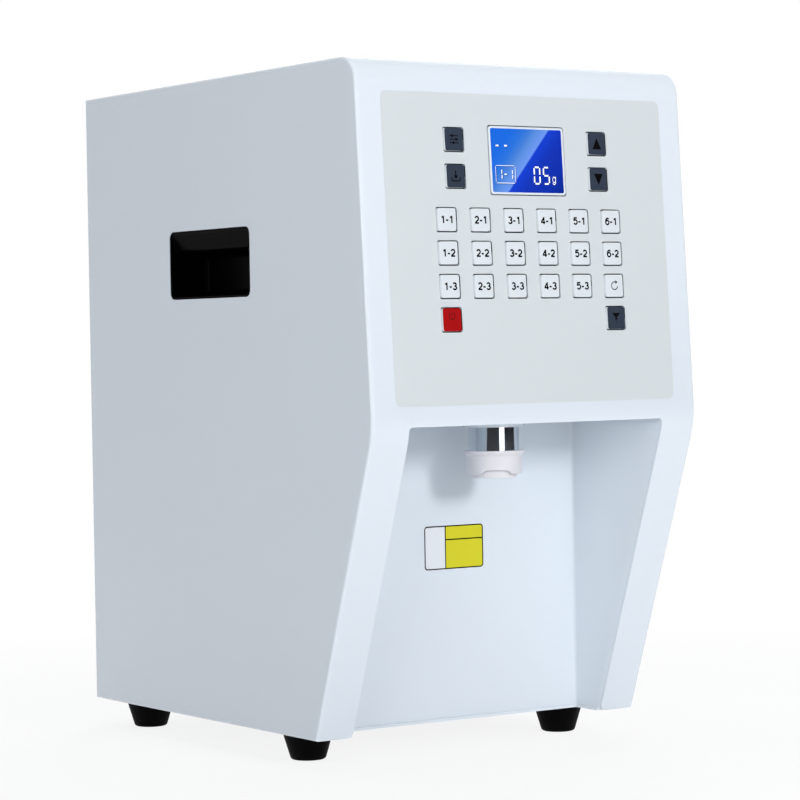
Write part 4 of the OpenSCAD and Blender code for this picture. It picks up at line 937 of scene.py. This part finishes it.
class DISPENSER_OT_top_sheet(bpy.types.Operator):
    """Adds the top sheet with the lid's opening and the pressed finger dish"""
    bl_idname = "dispenser.top_sheet"
    bl_label = "Top sheet"

    def execute(self, context):
        cabinet = context.scene.dispenser_cabinet
        front = Front(cabinet)
        half = front.half_w - cabinet.edge_r
        low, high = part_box("lid")
        opening = (low.x - cabinet.lid_gap, high.x + cabinet.lid_gap, low.y - cabinet.lid_gap,
                   high.y + cabinet.hinge_gap, 0)
        lip = mm(1.5)
        r, mouth = cabinet.dish_r + lip, opening[2]
        dish = (-r, r, mouth - r, mouth, 0)
        xs, ys = hole_lines([opening, dish])
        flat, faces = pierced([xs, [-half, half, 0]], [ys, [front.seam_y, front.y_back - cabinet.edge_r]],
                              [opening, dish])
        # The dish's rounded hole: fans from the two far corners of its square to a half circle
        steps = 12
        turn = np.linspace(np.pi, 2 * np.pi, 2 * steps + 1)
        rim = np.stack([r * np.cos(turn), mouth + r * np.sin(turn)], -1)
        fan = np.stack([np.zeros(steps, int), np.arange(2, steps + 2), np.arange(1, steps + 1)], -1)
        start = len(flat)
        flat = np.concatenate([flat, [[-r, mouth - r]], rim[:steps + 1], [[r, mouth - r]], rim[steps:]])
        faces += [start + fan, start + steps + 2 + fan]
        sheet = np.column_stack([flat, np.full(len(flat), front.z_top)])
        # The dish: a profile of radius and depth turned through the half circle
        bend = np.linspace(0, np.pi / 2, 5)
        foot = mm(3)
        radius = np.concatenate([r - lip * np.sin(bend), cabinet.dish_r - foot * (1 - np.cos(bend)), [0]])
        depth = np.concatenate([lip * (1 - np.cos(bend)), cabinet.dish_depth - foot * (1 - np.sin(bend)),
                                [cabinet.dish_depth]])
        rings = np.stack([radius[:, None] * np.cos(turn), mouth + radius[:, None] * np.sin(turn),
                          front.z_top - depth[:, None] + 0 * turn], -1)
        bowl, walls = skin(rings, wrap=False)
        made = make_piece("top_sheet", [(sheet, faces, "enamel"), (bowl, walls, "enamel")], "cabinet",
                          ("top_panel",))
        thicken(made, cabinet.sheet, edge=mm(0.3))
        return {"FINISHED"}


class DISPENSER_OT_bay(bpy.types.Operator):
    """Adds the cup bay's bent wall and the blank two-tone label on it"""
    bl_idname = "dispenser.bay"
    bl_label = "Cup bay"

    def execute(self, context):
        cabinet = context.scene.dispenser_cabinet
        front = Front(cabinet)
        low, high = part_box("bay_liner")
        half, r = cabinet.bay_w / 2, cabinet.bay_r
        wall = high.x - half
        back = high.y - wall
        z = np.linspace(low.z, high.z, 41)
        place, normal = front.at(front.at_height(z))
        gap = mm(0.2)
        start = (place - normal * (cabinet.sheet + gap))[:, :1]
        # Plan of one side from the front edge to the middle of the back: straight, quarter arc, straight
        share, turn = np.linspace(0, 1, 8), np.linspace(0, np.pi / 2, 15)[1:-1]
        straight = start + (back - r - start) * share
        arc = np.broadcast_to(back - r + r * np.sin(turn), (len(z), len(turn)))
        rear = np.full((len(z), 8), back)
        y = np.concatenate([straight, arc, rear], 1)
        x = np.concatenate([np.full(8, -half), r - half - r * np.cos(turn), (r - half) * (1 - share)])
        x = np.broadcast_to(x, y.shape)
        y = np.concatenate([y, y[:, -2::-1]], 1)
        x = np.concatenate([x, -x[:, -2::-1]], 1)
        points = np.stack([x, y, np.broadcast_to(z[:, None], x.shape)], -1)
        liner = make_piece("bay_wall", [skin(points, wrap=False) + ("enamel",)], "cabinet",
                           ("bay_liner",))
        thicken(liner, wall, edge=0)

        label = context.scene.dispenser_label
        width, height = label.width, label.height

        def put(flat, out):
            """Flat shapes in (x, z) about the label's middle, standing out from the back wall."""
            away = np.full(len(flat), back - mm(out))
            return np.column_stack([flat[:, 0], away, flat[:, 1] + label.middle])

        def outline(inset):
            """The label's rounded outline, moved in by an inset."""
            return rounded(width - 2 * inset, height - 2 * inset, label.corner - inset)

        # The label's edge in mm, inset and out from the wall, with its corner taken off
        body = np.stack([put(outline(mm(inset)), out) for inset, out in ((0, 0), (0, 0.12), (0.03, 0.16))])
        border = np.concatenate([put(outline(inset), 0.18) for inset in (mm(0.15), label.border)])
        count = body.shape[1]
        # The coloured field: the label's right-hand part, inside the border line
        field = outline(label.border)
        field[:, 0] = np.maximum(field[:, 0], -label.split)
        right, top = width / 2 - label.border, height / 2 - label.border
        marks, blocks = strokes((-label.split, -top, -label.split, top, label.line),
                                (-label.split, label.ledge, right, label.ledge, label.line))
        make_piece("bay_label", [skin(body, last=True) + ("label_vinyl",),
                                 (border, [quads(2, count, wrap=True)], "print_black"),
                                 (put(field, 0.18), [np.arange(count)[None]], "label_colour"),
                                 (put(marks, 0.2), blocks, "print_black")],
                   "cabinet")
        return {"FINISHED"}


class DISPENSER_OT_handles(bpy.types.Operator):
    """Adds the two recessed handles: a moulded cup with a thin lip at its mouth and a finger slope on top"""
    bl_idname = "dispenser.handles"
    bl_label = "Handles"

    def execute(self, context):
        grip = context.scene.dispenser_handles
        # Rows of the cup in mm: depth below the side, inset from the opening, share of the finger slope
        rows = np.array([
            (2.2, 0.22, 0), (0.6, 0.22, 0), (0.15, 0.34, 0), (0, 0.65, 0), (0, 0.95, 0), (0.12, 1.25, 0),
            (0.5, 1.5, 0.03), (1.2, 1.7, 0.12), (4.6, 2.0, 0.84), (5.6, 2.1, 0.96), (7.4, 2.2, 1),
            (18, 3.2, 1), (24.6, 3.8, 1), (26.8, 4.6, 1), (27.8, 6.4, 1), (28, 9, 1)])
        depth = rows[:, 0] / rows[-1, 0] * grip.depth
        wall = mm(1.6)
        inset = mm(rows[:, 1])
        lines = np.stack([rounded(grip.width - 2 * i, grip.height - 2 * i, max(grip.corner - i, wall))
                          for i in inset])
        tall = (grip.height - 2 * inset)[:, None]
        lift = lines[:, :, 1] / tall + 0.5
        lines[:, :, 1] -= lift * grip.slope * rows[:, 2:]
        for side, body_side in ((-1, "left"), (1, "right")):
            low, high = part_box(f"{body_side}_handle")
            centre = np.array([(low.y + high.y) / 2, (low.z + high.z) / 2])
            x = side * (max(-low.x, high.x) - depth)
            x = np.broadcast_to(x[:, None, None], lines.shape[:2] + (1,))
            rings = np.concatenate([x, lines + centre], -1)
            points, faces = skin(rings, last=True)
            cup = make_piece(f"{body_side}_handle_cup",
                             [(points, faces if side > 0 else flipped(faces), "gloss_abs")],
                             "cabinet", (f"{body_side}_handle",))
            thicken(cup, wall, edge=0)
        return {"FINISHED"}


class DISPENSER_OT_feet(bpy.types.Operator):
    """Adds the four turned rubber feet"""
    bl_idname = "dispenser.feet"
    bl_label = "Feet"

    def execute(self, context):
        low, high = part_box("feet")
        reach, tall = mm(17.25), 19
        # Profile in mm, radius and height: the screw's recess, the sole, the flared wall and the top
        corners = [(0, 11.4), (4.6, 11.4), (4.6, 0), (11.5, 0), (17.2, tall), (0, tall)]
        profile = mm(eased(corners, [0, 0, 0.6, 2, 0.5, 0], 6)) * np.array([1, high.z / mm(tall)])
        feet = [lathe(profile, (x, y), 48) + ("foot_rubber",)
                for x in (low.x + reach, high.x - reach) for y in (low.y + reach, high.y - reach)]
        make_piece("rubber_feet", feet, "cabinet", ("feet",))
        return {"FINISHED"}


class DISPENSER_OT_overlay(bpy.types.Operator):
    """Adds the overlay film behind the keys"""
    bl_idname = "dispenser.overlay"
    bl_label = "Overlay"

    def execute(self, context):
        keypad = context.scene.dispenser_keypad
        front = Front(context.scene.dispenser_cabinet)
        low, high = front.face_box("control_overlay")
        holes = face_holes(front, keypad)
        corners = [(x, s, keypad.overlay_r, sx, ss) for x, sx in ((low[0], -1), (high[0], 1))
                   for s, ss in ((low[1], -1), (high[1], 1))]
        xs, ss = hole_lines(holes, corners)
        flat, faces = pierced([xs], [ss], holes, corners)
        film = make_piece("overlay_film", [(front.on_face(flat[:, 0], flat[:, 1], high[2]), faces,
                                            "overlay_film")],
                          "cabinet", ("control_overlay",))
        thicken(film, high[2], edge=0)
        return {"FINISHED"}


class DISPENSER_OT_keys(bpy.types.Operator):
    """Adds the push keys with their numbers and signs, each riding on its own body"""
    bl_idname = "dispenser.keys"
    bl_label = "Keys"

    def execute(self, context):
        keypad = context.scene.dispenser_keypad
        front = Front(context.scene.dispenser_cabinet)
        bend = np.linspace(0, np.pi / 2, 5)
        edge = keypad.cap_edge
        # Rows of a cap: out from the sheet and inset, up the drafted wall and round its upper edge
        out = np.concatenate([[mm(-3.2), mm(-0.3)], keypad.cap_out - edge * (1 - np.sin(bend))])
        inset = np.concatenate([[0, 0], edge * (1 - np.cos(bend))])
        draft = np.concatenate([[-0.5, -0.5], np.full(5, 0.5)]) * keypad.cap_draft
        for name in key_names():
            low, high = front.face_box(name)
            centre = (low[:2] + high[:2]) / 2 - (keypad.cap_left, 0)
            lines = np.stack([rounded(keypad.cap - 2 * (i + d), keypad.cap - 2 * i, keypad.cap_r - i)
                              for i, d in zip(inset, draft)])
            rings = front.on_face(centre[0] + lines[..., 0], centre[1] + lines[..., 1], out[:, None])
            slot = self.slot_of(name)
            film = NODE_FINISH[slot]
            # The cap's foot below the sheet is black, so the gaps above, below and right of the cap show as
            # dark lines: painted shade in the gaps
            shade_skirt = skin(rings[:2], first=True) + ("switch_polyamide",)
            walls = skin(rings[1:3]) + ("key_abs",)
            crown = skin(rings[2:], last=True) + (film,)
            ink = "print_red" if slot == "key_red" else "print_black"
            if slot == "key_white" and name != "key_clear":
                shapes, size, lift = figures(name[4:].replace("_", "-")), keypad.digits, 0
            else:
                shapes, size, lift = key_sign(name), keypad.signs, 0
            if name == "key_power":    # its sign is smaller and stands above the middle
                size, lift = keypad.signs * 0.8, mm(2.4)
            # Each shape of a print lies a little above the one before it
            prints = []
            for step, (flat, faces) in enumerate(shapes):
                points = front.on_face(centre[0] + size * flat[:, 0], centre[1] + lift + size * flat[:, 1],
                                       keypad.cap_out + mm(0.02 + 0.004 * step))
                prints.append((points, faces, ink))
            make_piece(name + "_cap", [shade_skirt, walls, crown, *prints], name, (name,))
        return {"FINISHED"}

    def slot_of(self, name):
        """The record's slot of a key, by its name."""
        dark = ("key_set", "key_save", "key_up", "key_down", "key_feed")
        return "key_red" if name == "key_power" else "key_slate" if name in dark else "key_white"


class DISPENSER_OT_display(bpy.types.Operator):
    """Adds the display: white rim, glass and lit segments"""
    bl_idname = "dispenser.display"
    bl_label = "Display"

    def execute(self, context):
        keypad = context.scene.dispenser_keypad
        front = Front(context.scene.dispenser_cabinet)
        low, high = front.face_box("display_window")
        x, s = (low[:2] + high[:2]) / 2
        w, h, band, out = keypad.rim_w, keypad.rim_h, keypad.rim_band, keypad.rim_out
        corner, pane_corner = mm(2.2), mm(0.9)
        glass = high[2]
        # Rows of the rim: inset and height, up the outer wall, over the face and down to the glass
        rows = [(0, mm(-1.5)), (0, out - mm(0.45)), (mm(0.05), out - mm(0.2)), (mm(0.2), out - mm(0.05)),
                (mm(0.45), out), (band - mm(0.4), out), (band - mm(0.15), out - mm(0.06)),
                (band, out - mm(0.25)), (band + mm(0.05), glass - mm(0.3))]
        rings = []
        for inset, up in rows:
            line = rounded(w - 2 * inset, h - 2 * inset, max(corner - inset, pane_corner))
            rings.append(front.on_face(x + line[:, 0], s + line[:, 1], up))
        make_piece("display_rim", [skin(rings) + ("rim_abs",)], "cabinet", ("display_bezel",))

        line = rounded(w - 2 * band, h - 2 * band, pane_corner)
        pane = np.stack([front.on_face(x + line[:, 0], s + line[:, 1], up) for up in (low[2], glass)])
        made = [skin(pane, first=True, last=True) + ("display_glass",)]
        # Lit segments in mm about the pane's middle: dose, step number, dashes, the number's box, unit
        lit = [digit("abcdef", 5.3, -14.7, 4.4, 10.7, 1.0), digit("acdfg", 12.8, -14.7, 4.4, 10.7, 1.0),
               digit("bc", -24.0, -12.2, 3.2, 6.4, 0.65), digit("bc", -15.5, -12.2, 3.2, 6.4, 0.65),
               strokes((-18.7, -9, -16.9, -9, 0.7), (-24.6, 9.5, -22.4, 9.5, 0.95),
                       (-17.8, 9.5, -15.6, 9.5, 0.95),
                       (-24.9, -3.4, -10.7, -3.4, 0.28), (-24.9, -14.7, -10.7, -14.7, 0.36),
                       (-25.6, -14.2, -25.6, -3.9, 0.25), (-10, -14.2, -10, -3.9, 0.25))]
        lit += [(flat * (4.3, 6.0) + (21.2, -12.3), faces) for flat, faces in figures("g", 0.08)]
        # Each lit segment over its own shadow on the back of the cell: moved right and down, lifted
        layers = ((0.5, 0.45, 0.02, "segment_shadow"), (0, 0, 0.04, "segment_glow"))
        for flat, faces in lit:
            for right, down, up, look in layers:
                points = front.on_face(x + mm(flat[:, 0] + right), s + mm(flat[:, 1] - down), glass + mm(up))
                made.append((points, faces, look))
        make_piece("display_pane", made, "cabinet", ("display_window",))
        return {"FINISHED"}


class DISPENSER_OT_outlet(bpy.types.Operator):
    """Adds the polished outlet tube and the nozzle with its three flat-topped notches"""
    bl_idname = "dispenser.outlet"
    bl_label = "Outlet"

    def execute(self, context):
        low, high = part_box("outlet_tube")
        axis = ((low.x + high.x) / 2, (low.y + high.y) / 2)
        bottom, top, outer = low.z, mm(231), (high.x - low.x) / 2    # its top end is out of sight
        inner = outer - mm(1.5)
        wall = np.array([(inner, bottom), (outer, bottom), (outer, top), (inner, top)])
        profile = eased(wall, mm(0.3), 4)
        even(make_piece("tube_polished", [lathe(np.concatenate([profile, profile[:1]]), axis, 96) +
                                          ("polished_stainless",)],
                        "cabinet", ("outlet_tube",)))

        low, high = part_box("outlet_nozzle")
        # Rows of the nozzle in mm: radius, height below its top, share of the notch's rise
        rows = np.array([
            (13.9, -10, 0), (13.9, -17.7, 0), (14.1, -18, 0), (14.55, -18, 0), (14.75, -17.75, 0),
            (15.0, -13.8, 0), (15.1, -11.2, 0), (16.8, -15.2, 1), (17, -15.4, 1), (18.1, -15.4, 1),
            (18.38, -15.3, 1), (18.45, -15.05, 1), (18.45, -11, 0), (18.45, -3.6, 0), (18.6, -3.15, 0),
            (19.75, -2, 0), (20.02, -1.6, 0), (20.05, -1.3, 0), (20.05, -0.35, 0), (19.95, -0.1, 0),
            (19.7, 0, 0), (16.9, 0, 0), (16.75, -0.15, 0), (16.75, -10, 0), (13.9, -10, 0)])
        turn = np.linspace(0, 2 * np.pi, 180, endpoint=False)
        near = np.angle(np.exp(1j * (turn[:, None] - np.radians([-120, 0, 120]))))
        near = near[np.arange(len(turn)), np.abs(near).argmin(1)]
        # A notch rises 2.8 above the sleeve's lower edge: flat over its middle, an S-shaped flank either side
        sleeve_r, flat_half, notch_half, rise = 18.45, 6.4, 11.4, 2.8
        flank = np.clip((notch_half - np.abs(sleeve_r * np.sin(near))) / (notch_half - flat_half), 0, 1)
        flank[np.abs(near) > np.pi / 2] = 0
        z = rows[:, 1:2] + rows[:, 2:] * rise * flank ** 2 * (3 - 2 * flank)
        r = np.broadcast_to(rows[:, :1], z.shape)
        rings = np.stack([axis[0] + mm(r * np.cos(turn)), axis[1] + mm(r * np.sin(turn)), high.z + mm(z)], -1)
        make_piece("nozzle_moulded", [skin(rings) + ("nozzle_polyamide",)], "cabinet",
                   ("outlet_nozzle",), crease=50)
        return {"FINISHED"}


class DISPENSER_PT_panel(bpy.types.Panel):
    """Lists the pieces of the dispenser"""
    bl_idname = "DISPENSER_PT_panel"
    bl_label = "Powder dosing dispenser"
    bl_space_type = "VIEW_3D"
    bl_region_type = "UI"
    bl_category = "Dispenser"

    def draw(self, context):
        for operator in OPERATORS:
            self.layout.operator(operator.bl_idname)


OPERATORS = (
    DISPENSER_OT_camera, DISPENSER_OT_stage, DISPENSER_OT_finishes, DISPENSER_OT_side_panels,
    DISPENSER_OT_front_sheet, DISPENSER_OT_top_sheet, DISPENSER_OT_bay, DISPENSER_OT_handles,
    DISPENSER_OT_feet, DISPENSER_OT_overlay, DISPENSER_OT_keys, DISPENSER_OT_display, DISPENSER_OT_outlet,
)
GROUPS = {
    "dispenser_cabinet": CabinetSizes, "dispenser_handles": HandleSizes, "dispenser_keypad": KeypadSizes,
    "dispenser_label": LabelSizes, "dispenser_colours": Colours, "dispenser_camera": CameraPlace,
}


def register():
    """Registers the sizes, operators and the panel."""
    for name, group in GROUPS.items():
        bpy.utils.register_class(group)
        setattr(bpy.types.Scene, name, PointerProperty(type=group))
    for made in (*OPERATORS, DISPENSER_PT_panel):
        bpy.utils.register_class(made)


def unregister():
    """Takes all of them away again."""
    for made in (DISPENSER_PT_panel, *reversed(OPERATORS)):
        bpy.utils.unregister_class(made)
    for name, group in reversed(GROUPS.items()):
        delattr(bpy.types.Scene, name)
        bpy.utils.unregister_class(group)


def main():
    """Builds the dispenser piece by piece."""
    register()
    for operator in OPERATORS:
        group, name = operator.bl_idname.split(".")
        getattr(getattr(bpy.ops, group), name)()


if __name__ == "__main__":
    main()
